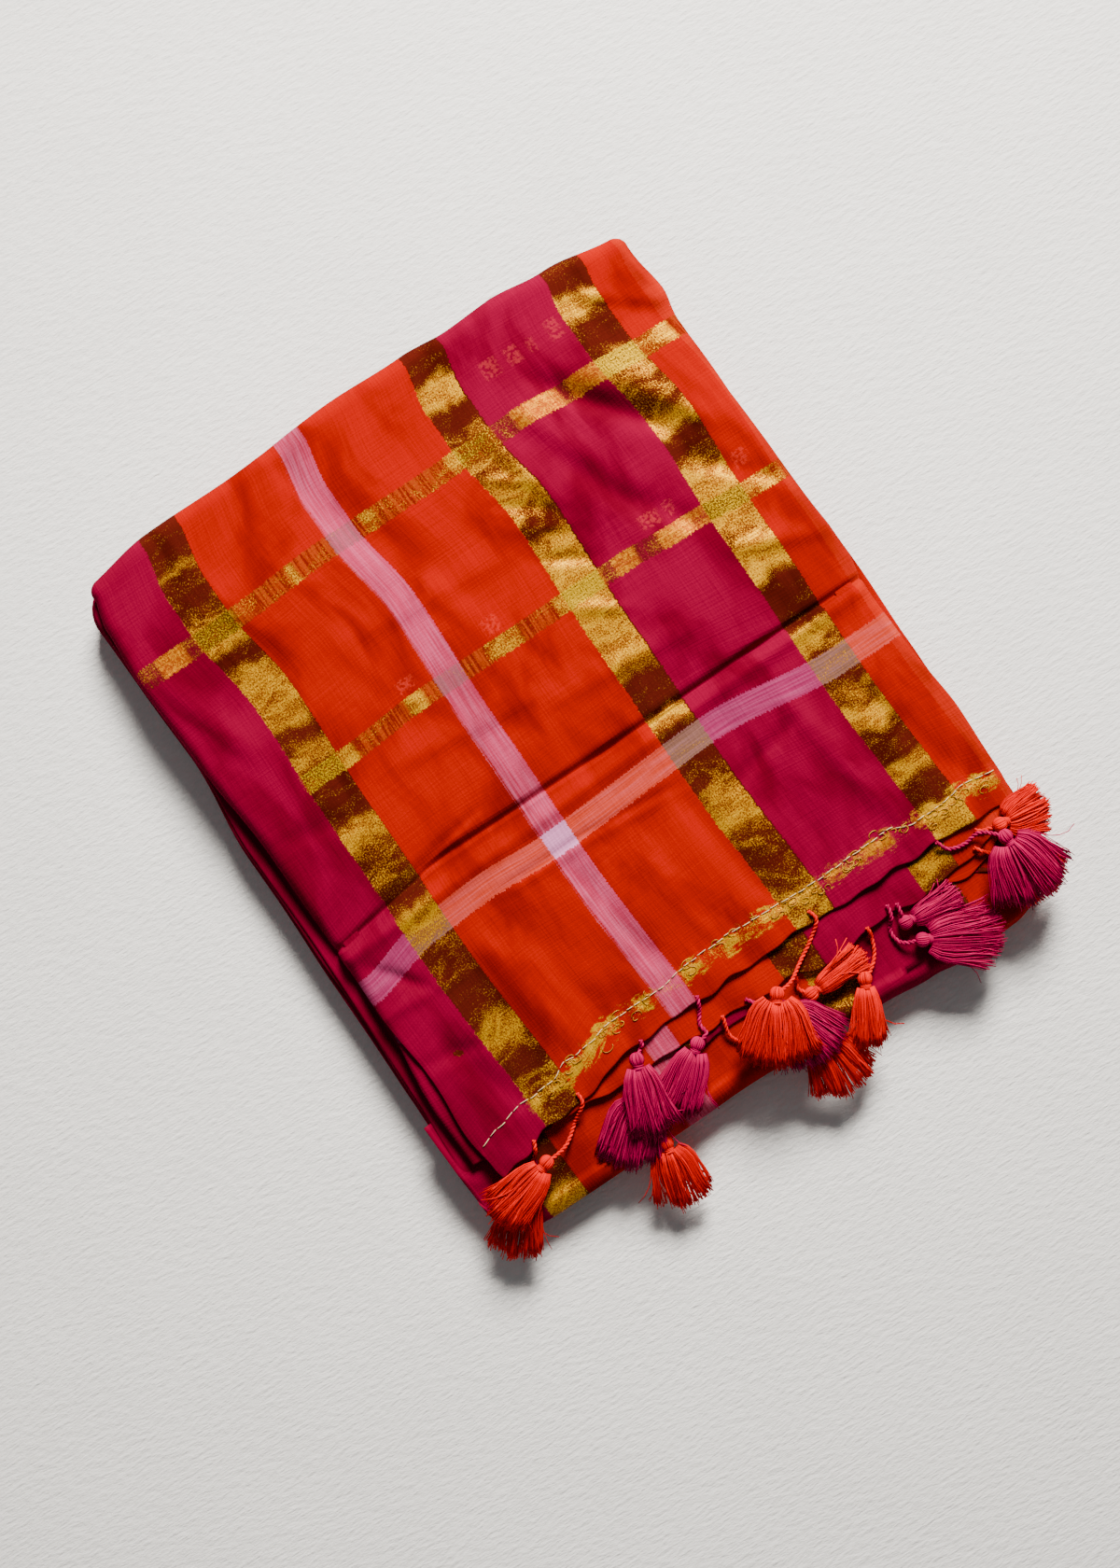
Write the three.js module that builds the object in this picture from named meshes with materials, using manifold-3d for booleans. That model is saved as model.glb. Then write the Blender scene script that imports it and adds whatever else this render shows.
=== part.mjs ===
// A cotton sari, folded for storage and lying on a table: folded in four across its width and in sixteen
// along its length, with the decorated end (the pallu) on top, its hems staggered at the front, and
// tassels tied along those hems. Millimetres, +Z up, the hem end at -Y.
import * as THREE from "three";
import * as BufferGeometryUtils from "three/addons/utils/BufferGeometryUtils.js";
import Module from "manifold-3d";

// ---------------------------------------------------------------- driving dimensions
const SARI_WIDTH = 1180;
const SARI_LENGTH = 5800;
const PANEL_WIDTH = SARI_WIDTH / 4;
const PANEL_LENGTH = SARI_LENGTH / 16;
const TOP_HEIGHT = 34; // upper face of the top ply, at the middle of the bundle
const PLY = 1.2; // one layer of cloth with its loft
const HEM_EXTRA = 0.6; // what the turned hem adds to that
const GAP = 0.4; // between one ply and the next
const SECOND_DOWN = PLY + HEM_EXTRA + 1.4 * GAP; // from the top ply's face to the second ply's
const THIRD_DOWN = SECOND_DOWN + PLY + 1.2 * GAP;
const SHELF_DOWN = THIRD_DOWN + PLY + 1.2 * GAP;
const CENTRE = { x: 4.558, y: -12.614 }; // middle of the finished outline, moved onto the origin

const LEFT = 10.5 - PANEL_WIDTH / 2;
const RIGHT = LEFT + PANEL_WIDTH;
const BACK = 182;
const BUNDLE_FRONT = BACK - PANEL_LENGTH;
const HEM_FRONT = -140;

// How far each edge lies from those four lines, along the edge: out is away from the bundle's middle.
const TOP_LEFT_EDGE = [
  { at: -150, out: -5 }, { at: -135, out: -2 }, { at: -116, out: 0 }, { at: -88, out: -2.5 }, { at: -54, out: 0.5 },
  { at: -20, out: -0.5 }, { at: 40, out: -1.5 }, { at: 86, out: 1 }, { at: 135, out: 2 }, { at: 160, out: 0 },
  { at: 180, out: -5 },
];
const TOP_RIGHT_EDGE = [
  { at: -148, out: -2.5 }, { at: -120, out: 0 }, { at: -86, out: 1 }, { at: -50, out: -0.5 }, { at: -22, out: -1 },
  { at: 0, out: 2 }, { at: 40, out: 1 }, { at: 105, out: 0 }, { at: 132, out: 0.5 }, { at: 150, out: 3 },
  { at: 170, out: 1 },
];
const BACK_EDGE = [
  { at: -137, out: -3 }, { at: -98, out: 1.6 }, { at: -50, out: 0 }, { at: 5, out: 2 }, { at: 45, out: 0 },
  { at: 70, out: -2.6 }, { at: 92, out: -2.3 }, { at: 121, out: -6 }, { at: 158, out: -12 },
];
const HEM_EDGE = [
  { at: -137, out: 12 }, { at: -122, out: 8.5 }, { at: -98, out: 3 }, { at: -80, out: 3.5 }, { at: -56, out: -4 },
  { at: -12, out: -3.2 }, { at: 25, out: -3 }, { at: 64, out: -1.5 }, { at: 102, out: 0.5 }, { at: 138, out: 2.5 },
  { at: 158, out: 7 },
];
const SECOND_HEM_EDGE = [
  { at: -143, out: -1 }, { at: -120, out: 3 }, { at: -85, out: 6 }, { at: -50, out: 9 }, { at: -10, out: 10.5 },
  { at: 20, out: 12.5 }, { at: 45, out: 17.5 }, { at: 66, out: 15.5 }, { at: 100, out: 18 }, { at: 135, out: 15 },
  { at: 158, out: 8 },
];
const THIRD_HEM_EDGE = [
  { at: -143, out: -8 }, { at: -100, out: 4 }, { at: -50, out: 6 }, { at: -20, out: 15 }, { at: 0, out: 15.5 },
  { at: 25, out: 10 }, { at: 80, out: 12 }, { at: 105, out: 20 }, { at: 125, out: 23 }, { at: 158, out: 6 },
];
const BUNDLE_LEFT_EDGE = [
  { at: -186, out: 14.5 }, { at: -145, out: 14 }, { at: -99, out: 12 }, { at: -34, out: 9.5 }, { at: 36, out: 8 },
  { at: 90, out: 3.5 }, { at: 172, out: 4 },
];
const BUNDLE_RIGHT_EDGE = [
  { at: -186, out: -1 }, { at: -130, out: 1 }, { at: -60, out: 2.2 }, { at: 0, out: 3 }, { at: 90, out: 2 },
  { at: 172, out: 1 },
];
const BUNDLE_FRONT_EDGE = [
  { at: -151, out: 0 }, { at: -120, out: 2 }, { at: -30, out: 3.5 }, { at: 20, out: 5.5 }, { at: 53, out: 9 },
  { at: 80, out: 12 }, { at: 101, out: 15.5 }, { at: 126, out: 14.5 }, { at: 158, out: 6 },
];

// Creases and soft folds of the top ply: a line from (x0, y0) to (x1, y1), the height of the fold in its
// middle, and how wide it is on its front and on its back side.
const FOLDS = [
  { x0: -150, y0: -19, x1: 170, y1: -21, height: -1.9, front: 5, back: 15 }, // pressed crease, side to side
  { x0: -60, y0: -44, x1: 27, y1: -51, height: 0.9, front: 3, back: 7 },
  { x0: -110, y0: -17, x1: -52, y1: -9, height: 0.8, front: 4, back: 6 },
  { x0: 92, y0: 126, x1: 122, y1: 88, height: -1.4, front: 7, back: 9 },
  { x0: 66, y0: 106, x1: 92, y1: 44, height: 1.3, front: 9, back: 9 },
  { x0: 118, y0: 118, x1: 146, y1: 66, height: 1.2, front: 8, back: 10 },
  { x0: 142, y0: 146, x1: 160, y1: 112, height: -1.2, front: 8, back: 8 },
  { x0: 8, y0: -56, x1: 12, y1: -104, height: -1.1, front: 9, back: 9 },
  { x0: -46, y0: -66, x1: -42, y1: -118, height: -0.9, front: 8, back: 8 },
  { x0: 68, y0: -30, x1: 74, y1: -112, height: -1.0, front: 9, back: 7 },
  { x0: -62, y0: 150, x1: -48, y1: 84, height: 0.9, front: 12, back: 12 },
  { x0: 22, y0: 150, x1: 12, y1: 60, height: -0.8, front: 14, back: 12 },
  { x0: -132, y0: -36, x1: -112, y1: -60, height: -0.9, front: 5, back: 5 },
];

// ---------------------------------------------------------------- small helpers
const lerp = (a, b, t) => a + (b - a) * t;
const clamp01 = (t) => Math.min(1, Math.max(0, t));
const smooth = (a, b, v) => {
  const t = clamp01((v - a) / (b - a));
  return t * t * (3 - 2 * t);
};

// The value of a short edge table at a place along the edge, eased between its rows.
function along(table, place) {
  if (place <= table[0].at) return table[0].out;
  for (let i = 1; i < table.length; i++) {
    const [before, after] = [table[i - 1], table[i]];
    if (place <= after.at) return lerp(before.out, after.out, smooth(before.at, after.at, place));
  }
  return table[table.length - 1].out;
}

function foldHeight(x, y) {
  let sum = 0;
  for (const fold of FOLDS) {
    const run = Math.hypot(fold.x1 - fold.x0, fold.y1 - fold.y0);
    const [dx, dy] = [(fold.x1 - fold.x0) / run, (fold.y1 - fold.y0) / run];
    const forward = (x - fold.x0) * dx + (y - fold.y0) * dy;
    const across = (y - fold.y0) * dx - (x - fold.x0) * dy;
    const width = across * (dx >= 0 ? 1 : -1) > 0 ? fold.back : fold.front;
    const fade = smooth(-12, 10, forward) * (1 - smooth(run - 10, run + 12, forward));
    sum += fold.height * fade * Math.exp(-((across / width) ** 2));
  }
  return sum;
}

// Height of the top ply's upper face: a low dome that falls towards the hem and towards the sides. It goes
// on past the hem, so that the layers beneath can be measured down from it.
function topHeight(x, y) {
  const towardsHem = 3 * (1 - smooth(-142, -78, y)) + 3.2 * (1 - smooth(-180, -143, y));
  const towardsSides = 1.6 * (smooth(70, 150, Math.abs(x - (LEFT + RIGHT) / 2)) + smooth(110, 180, y));
  const leftDroop = 1.4 * (1 - smooth(LEFT - 14, LEFT + 12, x));
  const swell = 0.5 * Math.sin(x / 27 + 0.6) * Math.sin(y / 34 - 0.4);
  return TOP_HEIGHT - towardsHem - towardsSides - leftDroop + swell + foldHeight(x, y);
}

// Height of the bundle's own upper face where it reaches out past the hems.
function shelfHeight(x, y) {
  const corners = 3.2 * (1 - smooth(-140, -100, x)) + 2.2 * smooth(128, 156, x);
  return topHeight(x, y) - SHELF_DOWN - corners * (1 - smooth(-156, -138, y));
}

// The highest cloth at a place, for what lies on it. The table's own height is 0.
function restingHeight(x, y) {
  if (y > HEM_FRONT - along(HEM_EDGE, x)) return topHeight(x, y);
  if (y > HEM_FRONT - along(SECOND_HEM_EDGE, x)) return topHeight(x, y) - SECOND_DOWN;
  if (y > HEM_FRONT - along(THIRD_HEM_EDGE, x)) return topHeight(x, y) - THIRD_DOWN;
  const past = clamp01((BUNDLE_FRONT - along(BUNDLE_FRONT_EDGE, x) + 10 - y) / 10);
  const beside = clamp01((LEFT - 4 - x) / 9) + clamp01((x - RIGHT + 3) / 5);
  return Math.max(0, shelfHeight(x, y) - 20 * past ** 3 - 8 * beside ** 2);
}

// The same, over a patch round the place.
function restingNear(x, y, reach) {
  let highest = restingHeight(x, y);
  for (let k = 0; k < 8; k++) {
    const turn = (k * Math.PI) / 4;
    highest = Math.max(highest, restingHeight(x + reach * Math.cos(turn), y + reach * Math.sin(turn)));
  }
  return highest;
}

// A closed mesh from rows of points: vertices are shared, faces are wound by the caller.
class Shell {
  constructor() {
    this.points = [];
    this.faces = [];
  }
  point([x, y, z]) {
    return this.points.push(x, y, z) / 3 - 1;
  }
  quad(a, b, c, d) {
    this.faces.push(a, b, c, a, c, d);
  }
  geometry() {
    const made = new THREE.BufferGeometry();
    made.setAttribute("position", new THREE.Float32BufferAttribute(this.points, 3));
    made.setIndex(this.faces);
    return made;
  }
}

// A wall of cloth over a grid of places: place(i, j, depth) gives a point, depth 0 on the upper face and
// 1 on the lower one.
function clothWall(columns, rows, place) {
  const shell = new Shell();
  const layer = (depth) =>
    Array.from({ length: rows + 1 }, (_, j) =>
      Array.from({ length: columns + 1 }, (_, i) => shell.point(place(i, j, depth))));
  const [upper, lower] = [layer(0), layer(1)];
  for (let j = 0; j < rows; j++) {
    for (let i = 0; i < columns; i++) {
      shell.quad(upper[j][i], upper[j][i + 1], upper[j + 1][i + 1], upper[j + 1][i]);
      shell.quad(lower[j][i], lower[j + 1][i], lower[j + 1][i + 1], lower[j][i + 1]);
    }
  }
  for (let i = 0; i < columns; i++) {
    shell.quad(upper[0][i], lower[0][i], lower[0][i + 1], upper[0][i + 1]);
    shell.quad(upper[rows][i + 1], lower[rows][i + 1], lower[rows][i], upper[rows][i]);
  }
  for (let j = 0; j < rows; j++) {
    shell.quad(upper[j + 1][0], lower[j + 1][0], lower[j][0], upper[j][0]);
    shell.quad(upper[j][columns], lower[j][columns], lower[j + 1][columns], upper[j + 1][columns]);
  }
  return shell.geometry();
}

const clothMaterial = (name, color, roughness = 0.9) =>
  new THREE.MeshStandardMaterial({ name, color, roughness, metalness: 0 });

// ---------------------------------------------------------------- the top ply
// Rows and columns stand closer together at the creases. The last rows and the outer columns turn down
// over the bundle: bend says how far round.
const ROLL_STEPS = 3;
const SIDE_ROLL = 6;
const BACK_ROLL = 8;
const ROW_PLACES = [0, 6, 16, 29, 44, 60, 76, 88, 96, 104, 112, 117, 121, 127, 137, 152, 168, 184, 200, 216, 232,
  248, 264, 280, 294, 306, 316]; // from the hem to where the back begins to turn down
const ROW_SPAN = ROW_PLACES[ROW_PLACES.length - 1];
const ROWS = ROW_PLACES.map((place) => place / ROW_SPAN);
const COLUMNS = 18;
const HEM_TURN = 16; // how wide the turned, doubled hem is

const sideBend = (y) => THREE.MathUtils.degToRad(lerp(20, 78, smooth(-90, -20, y)));
const BACK_BEND = THREE.MathUtils.degToRad(82);

// A place on the top ply: u across, v from the hem to the back, both 0 to 1 on the flat part; turn is how
// far round the rolled edge, 0 to 1, towards the side and towards the back. down is the depth below.
function topPlace(u, v, sideTurn, backTurn, down) {
  const yRough = lerp(HEM_FRONT, BACK - BACK_ROLL, v);
  const reach = SIDE_ROLL * Math.sin(sideBend(yRough));
  const xLeft = LEFT - along(TOP_LEFT_EDGE, yRough) + reach;
  const xRight = RIGHT + along(TOP_RIGHT_EDGE, yRough) - reach;
  const x = lerp(xLeft, xRight, u);
  const yHem = HEM_FRONT - along(HEM_EDGE, x);
  const yBack = BACK + along(BACK_EDGE, x) - BACK_ROLL * Math.sin(BACK_BEND);
  const y = lerp(yHem, yBack, v);
  const side = u < 0.5 ? -1 : 1;
  const turned = Math.hypot(sideTurn, backTurn);
  if (turned === 0) return [x, y, topHeight(x, y) - down];
  const backShare = backTurn / turned;
  const radius = lerp(SIDE_ROLL, BACK_ROLL, backShare);
  const bend = Math.min(1, turned) * lerp(sideBend(y), BACK_BEND, backShare);
  const out = (radius - down) * Math.sin(bend);
  return [
    x + side * out * (sideTurn / turned),
    y + out * backShare,
    topHeight(x, y) - radius + (radius - down) * Math.cos(bend),
  ];
}

function topPly() {
  const columns = COLUMNS + 2 * ROLL_STEPS;
  const rows = ROWS.length - 1 + ROLL_STEPS;
  return clothWall(columns, rows, (i, j, depth) => {
    const u = clamp01((i - ROLL_STEPS) / COLUMNS);
    const v = ROWS[Math.min(j, ROWS.length - 1)];
    const sideTurn = Math.max(0, ROLL_STEPS - i, i - ROLL_STEPS - COLUMNS) / ROLL_STEPS;
    const backTurn = Math.max(0, j - ROWS.length + 1) / ROLL_STEPS;
    const thickness = PLY + HEM_EXTRA * (1 - smooth(HEM_TURN - 2, HEM_TURN + 6, v * ROW_SPAN));
    return topPlace(u, v, sideTurn, backTurn, depth * thickness);
  });
}

// ---------------------------------------------------------------- the plies whose hems show below it
const TUCKED_BACK = -112; // how far back the second and third ply reach under the top one
const FRONT_COLUMNS = 20;
const FRONT_ROWS = [0, 0.3, 0.6, 1];

function frontPly({ left, right, hem, down }) {
  return clothWall(FRONT_COLUMNS, FRONT_ROWS.length - 1, (i, j, depth) => {
    const x = lerp(left, right, i / FRONT_COLUMNS);
    const yHem = HEM_FRONT - along(hem, x);
    const y = lerp(yHem, TUCKED_BACK, FRONT_ROWS[j]);
    return [x, y, topHeight(x, y) - down - depth * PLY];
  });
}

// ---------------------------------------------------------------- the hidden layers
// One rounded solid. Its upper face lies under the plies, its sides show the edges of folded layers.
const BUNDLE_COLUMNS = COLUMNS;
const FRONT_PLIES_REACH = 46; // from the hem: up to here the bundle lies under three plies, then under one
const CORNER_RADIUS = 16;
const LAYERS = 5;
const SHELF_TOP = 22.5; // the uppermost layer at the sides
const SHELF_ROWS = [0, 0.5, 1];
const FIRST_ROW = 3; // the bundle's rows start here under the top ply; the shelf's rows are before it

// Moves a point of the bundle's square-cornered outline onto the same outline with round corners.
function roundCorner([x, y], [xLow, xHigh, yLow, yHigh], radius) {
  const nearX = Math.min(Math.max(x, xLow + radius), xHigh - radius);
  const nearY = Math.min(Math.max(y, yLow + radius), yHigh - radius);
  const away = Math.hypot(x - nearX, y - nearY);
  if (away <= radius) return [x, y];
  return [nearX + ((x - nearX) / away) * radius, nearY + ((y - nearY) / away) * radius];
}

function bundle() {
  const shell = new Shell();
  const undersideOf = (v) => (v * ROW_SPAN < FRONT_PLIES_REACH ? SHELF_DOWN : PLY + 1.5 * GAP);
  const mainRows = ROWS.slice(FIRST_ROW);
  const shelfRows = SHELF_ROWS.length;
  const rows = shelfRows + mainRows.length;
  const frontLine = (x) => BUNDLE_FRONT - along(BUNDLE_FRONT_EDGE, x);
  const topPoint = (i, j) => {
    const u = Math.min(0.98, Math.max(0.02, i / BUNDLE_COLUMNS));
    if (j >= shelfRows) {
      const v = Math.min(0.99, mainRows[j - shelfRows]);
      return topPlace(u, v, 0, 0, undersideOf(v));
    }
    const x = lerp(LEFT - 4, RIGHT - 4, u);
    const y = lerp(frontLine(x) + 10, HEM_FRONT + 3, SHELF_ROWS[j]);
    return [x, y, shelfHeight(x, y) - 0.3];
  };
  const grid = Array.from({ length: rows }, (_, j) =>
    Array.from({ length: BUNDLE_COLUMNS + 1 }, (_, i) => shell.point(topPoint(i, j))));
  for (let j = 0; j < rows - 1; j++) {
    for (let i = 0; i < BUNDLE_COLUMNS; i++) {
      shell.quad(grid[j][i], grid[j][i + 1], grid[j + 1][i + 1], grid[j + 1][i]);
    }
  }

  // The grid's border, once round, anticlockwise from the front left corner.
  const border = [];
  for (let i = 0; i < BUNDLE_COLUMNS; i++) border.push([i, 0]);
  for (let j = 0; j < rows - 1; j++) border.push([BUNDLE_COLUMNS, j]);
  for (let i = BUNDLE_COLUMNS; i > 0; i--) border.push([i, rows - 1]);
  for (let j = rows - 1; j > 0; j--) border.push([0, j]);

  // The outline beside a border point, grown outwards by so much.
  const outlineAt = ([i, j], grow) => {
    const [x, y] = topPoint(i, j);
    const sides = [
      LEFT - along(BUNDLE_LEFT_EDGE, y) - grow,
      RIGHT + along(BUNDLE_RIGHT_EDGE, y) + grow,
      frontLine(x) - grow,
      BACK + along(BACK_EDGE, x) - 1.5 + grow,
    ];
    const place = [
      i === 0 ? sides[0] : i === BUNDLE_COLUMNS ? sides[1] : x,
      j === 0 ? sides[2] : j === rows - 1 ? sides[3] : y,
    ];
    return roundCorner(place, sides, CORNER_RADIUS + grow);
  };
  const isFront = ([, j]) => j === 0;
  const ring = (place) => border.map((at) => shell.point(place(at)));

  const rings = [border.map(([i, j]) => grid[j][i])];
  // Down inside the top ply's rolled edge, then out under it.
  rings.push(ring((at) => {
    const [x, y, z] = topPoint(...at);
    const [ox, oy] = outlineAt(at, 0);
    const away = Math.hypot(ox - x, oy - y);
    const step = isFront(at) ? 5 : 0.9;
    return [x + ((ox - x) / away) * step, y + ((oy - y) / away) * step, z - (isFront(at) ? 1.0 : 3.6)];
  }));
  const topOf = (at) => {
    const [x, y] = topPoint(...at);
    if (isFront(at)) return shelfHeight(x, y) - 3.2;
    return SHELF_TOP + 0.8 * Math.sin(y / 31) - 2.5 * smooth(-120, -180, y);
  };
  for (let layer = 0; layer < LAYERS; layer++) {
    for (const ridge of [1, 0]) {
      rings.push(ring((at) => {
        const share = (layer + (ridge ? 0.45 : 1)) / LAYERS;
        const [x, y] = topPoint(...at);
        const wander = Math.sin(layer * 2.3 + x / 47) + Math.cos(layer * 1.7 - y / 53);
        const bulge = isFront(at) ? -7 * (2 * share - 1) ** 2 : -2.2 * (2 * share - 1) ** 4;
        const depth = ridge ? 0 : isFront(at) ? 0.5 : 1.8;
        const [px, py] = outlineAt(at, bulge - depth + (isFront(at) ? 0.2 : 0.7) * wander);
        return [px, py, Math.max(0, topOf(at) * (1 - share))];
      }));
    }
  }
  for (let r = 0; r < rings.length - 1; r++) {
    for (let k = 0; k < border.length; k++) {
      const next = (k + 1) % border.length;
      shell.quad(rings[r][next], rings[r][k], rings[r + 1][k], rings[r + 1][next]);
    }
  }
  const last = rings[rings.length - 1];
  const middle = shell.point([(LEFT + RIGHT) / 2, 0, 0]);
  for (let k = 0; k < border.length; k++) {
    shell.faces.push(last[(k + 1) % border.length], last[k], middle);
  }
  return shell.geometry();
}

// ---------------------------------------------------------------- tassels
// Each is tied to a hem by a twisted cord: a round head, a bound neck and a skirt of cut threads.
const HEAD_RADIUS = 3;
const NECK_RADIUS = 2.1;
const NECK_LENGTH = 2.6;
const CORD_RADIUS = 0.65;
const CORD_SIDES = 4;
const CORD_STEPS = 6;
const LOCKS = 12;
const CLEAR = 0.4; // between a tassel and the cloth it lies on

// x, y: where the skirt leaves the neck. az: the skirt's direction in plan, degrees from +X. spread: half
// its fan, degrees. lift: how far the tassel rides above the cloth, on others. drop: how far its ends
// sink. cord: places in plan from the hem to the head.
const TASSELS = [
  { name: "front_left_upper", color: "orange",
    x: -118.5, y: -157.5, lift: 4.6, az: 190, spread: 27, length: 27, drop: 3,
    cord: [[-84, -138.5], [-85, -144], [-93, -149.5], [-102.5, -155.5]] },
  { name: "front_left_lower", color: "orange",
    x: -131, y: -161.5, lift: 0, az: 230, spread: 29, length: 27, drop: 8,
    cord: [[-112.5, -144.6], [-116, -150.4], [-122, -154.5]] },
  { name: "left_pair_upper", color: "magenta",
    x: -55, y: -146, lift: 3.2, az: 248, spread: 14, length: 29, drop: 5,
    cord: [[-46.5, -135.6], [-48, -138.4]] },
  { name: "left_pair_right", color: "magenta",
    x: -30.5, y: -155, lift: 0, az: 213, spread: 24, length: 26, drop: 4,
    cord: [[-14, -134], [-16.5, -139.5], [-20.5, -145.5], [-20.5, -150.5]] },
  { name: "left_pair_lower", color: "magenta",
    x: -66, y: -160, lift: 0, az: 224, spread: 27, length: 27, drop: 5,
    cord: [[-57.5, -146.6], [-58.5, -150.5]] },
  { name: "left_pair_hanging", color: "orange",
    x: -66, y: -187, lift: 0.3, az: 258, spread: 38, length: 22, drop: 8,
    cord: [[-53.6, -145.4], [-55.5, -156], [-61.5, -168], [-64, -176]] },
  { name: "middle_upper", color: "orange",
    x: 13, y: -157.5, lift: 6.1, az: 234, spread: 50, length: 27, drop: 4.5,
    cord: [[49.5, -132], [50, -137.6], [42, -144], [31.5, -149.5], [24, -153]] },
  { name: "middle_second", color: "magenta",
    x: 16, y: -166.5, lift: 3.8, az: 278, spread: 48, length: 24, drop: 3,
    cord: [[3, -148.4], [6, -153], [10, -158]] },
  { name: "middle_lying", color: "orange",
    x: 34, y: -164.2, lift: 0, az: 2, spread: 7, length: 23, drop: 0,
    cord: [[27.6, -153.4], [25.5, -159]] },
  { name: "middle_right", color: "orange",
    x: 50.4, y: -177, lift: 1.8, az: 241, spread: 13, length: 24, drop: 5,
    cord: [[67, -154], [66.5, -159], [63.5, -166], [58.5, -170.5]] },
  { name: "middle_lowest", color: "orange",
    x: 20, y: -187, lift: 0, az: 268, spread: 42, length: 22, drop: 8,
    cord: [[-10, -148.4], [-12, -160], [-2, -172], [12, -178]] },
  { name: "right_pair_front", color: "magenta",
    x: 89, y: -176, lift: 2.2, az: 332, spread: 26, length: 30, drop: 5,
    cord: [[80.5, -151], [79, -156.5], [75, -163], [76.5, -169.5]] },
  { name: "right_pair_back", color: "magenta",
    x: 88, y: -163.5, lift: 0, az: 352, spread: 9, length: 21, drop: 0.5,
    cord: [[84.5, -153], [83.5, -158]] },
  { name: "corner_front", color: "magenta",
    x: 141.5, y: -161, lift: 4.8, az: 264, spread: 58, length: 25, drop: 6,
    cord: [[115, -140.5], [118, -146.5], [125.5, -149], [134, -148.5]] },
  { name: "corner_back", color: "orange",
    x: 148.5, y: -151.6, lift: 0, az: 351, spread: 29, length: 18, drop: 2,
    cord: [[133, -146.6], [136, -149]] },
  { name: "corner_lower", color: "orange",
    x: 142, y: -169, lift: 1.2, az: 284, spread: 36, length: 19, drop: 6,
    cord: [[128, -153], [131, -157.5], [136, -162]] },
];

function solid(wasm, geometry) {
  const bare = geometry.clone();
  bare.deleteAttribute("normal");
  bare.deleteAttribute("uv");
  const merged = BufferGeometryUtils.mergeVertices(bare, 1e-4);
  return new wasm.Manifold(new wasm.Mesh({
    numProp: 3,
    vertProperties: new Float32Array(merged.attributes.position.array),
    triVerts: new Uint32Array(merged.index.array),
  }));
}

function geometryOf(manifold) {
  const mesh = manifold.getMesh();
  const made = new THREE.BufferGeometry();
  made.setAttribute("position", new THREE.BufferAttribute(new Float32Array(mesh.vertProperties), 3));
  made.setIndex(new THREE.BufferAttribute(new Uint32Array(mesh.triVerts), 1));
  return made;
}

// The head's middle, in plan, and the height of the tassel's axis.
function headPlace(tassel) {
  const back = THREE.MathUtils.degToRad(tassel.az + 180);
  const toHead = NECK_LENGTH + 0.8 * HEAD_RADIUS;
  const x = tassel.x + Math.cos(back) * toHead;
  const y = tassel.y + Math.sin(back) * toHead;
  return { x, y, z: restingNear(x, y, HEAD_RADIUS) + HEAD_RADIUS + CLEAR + tassel.lift };
}

// One lock of threads: three-sided, thin at the neck and wider at its cut end. Every other lock lies lower.
function lock(tassel, index) {
  const shell = new Shell();
  const upper = index % 2 === 0;
  const place = (index + 0.5) / LOCKS - 0.5;
  const spread = THREE.MathUtils.degToRad(tassel.spread);
  const axis = THREE.MathUtils.degToRad(tassel.az);
  const angle = axis + place * 2 * spread;
  const length = tassel.length * (1 - 0.05 * ((index * 2) % 3));
  const neckShift = place * 2 * NECK_RADIUS * 0.8;
  const { z } = headPlace(tassel);
  const rings = [-0.06, 0.5, 1].map((t) => {
    const out = length * t;
    const pitch = (2 * spread * Math.max(0, out) + 1.6 * NECK_RADIUS) / LOCKS;
    const half = Math.min(1.5, 0.75 * pitch);
    const x = tassel.x + Math.cos(angle) * out - Math.sin(axis) * neckShift;
    const y = tassel.y + Math.sin(angle) * out + Math.cos(axis) * neckShift;
    const wanted = z + (upper ? 0.9 : -0.9) - tassel.drop * Math.max(0, t) ** 1.7;
    const lowest = (t > 0 ? restingNear(x, y, 2) : 0) + CLEAR + (upper ? 2.4 : 0.6);
    const height = Math.max(wanted, lowest);
    return [[half, -0.4], [0, 0.6], [-half, -0.4]].map(([across, rise]) => shell.point([
      x - Math.sin(angle) * across,
      y + Math.cos(angle) * across,
      height + rise,
    ]));
  });
  for (let r = 0; r < rings.length - 1; r++) {
    for (let k = 0; k < 3; k++) {
      const next = (k + 1) % 3;
      shell.quad(rings[r][k], rings[r][next], rings[r + 1][next], rings[r + 1][k]);
    }
  }
  shell.faces.push(rings[0][2], rings[0][1], rings[0][0]);
  shell.faces.push(rings[2][0], rings[2][1], rings[2][2]);
  return shell.geometry();
}

// Head and neck, turned about the tassel's own axis.
function headAndNeck(tassel) {
  const profile = [[0, 0], [NECK_RADIUS, 0.3], [NECK_RADIUS * 0.85, NECK_LENGTH]];
  for (const turn of [-35, 0, 35, 65]) {
    const angle = THREE.MathUtils.degToRad(turn);
    profile.push([HEAD_RADIUS * Math.cos(angle), NECK_LENGTH + HEAD_RADIUS * (0.8 + Math.sin(angle))]);
  }
  profile.push([0, NECK_LENGTH + 1.8 * HEAD_RADIUS]);
  const turned = new THREE.LatheGeometry(profile.map(([radius, back]) => new THREE.Vector2(radius, back)), 8);
  turned.rotateZ(THREE.MathUtils.degToRad(tassel.az + 90));
  turned.translate(tassel.x, tassel.y, headPlace(tassel).z);
  return turned;
}

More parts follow.
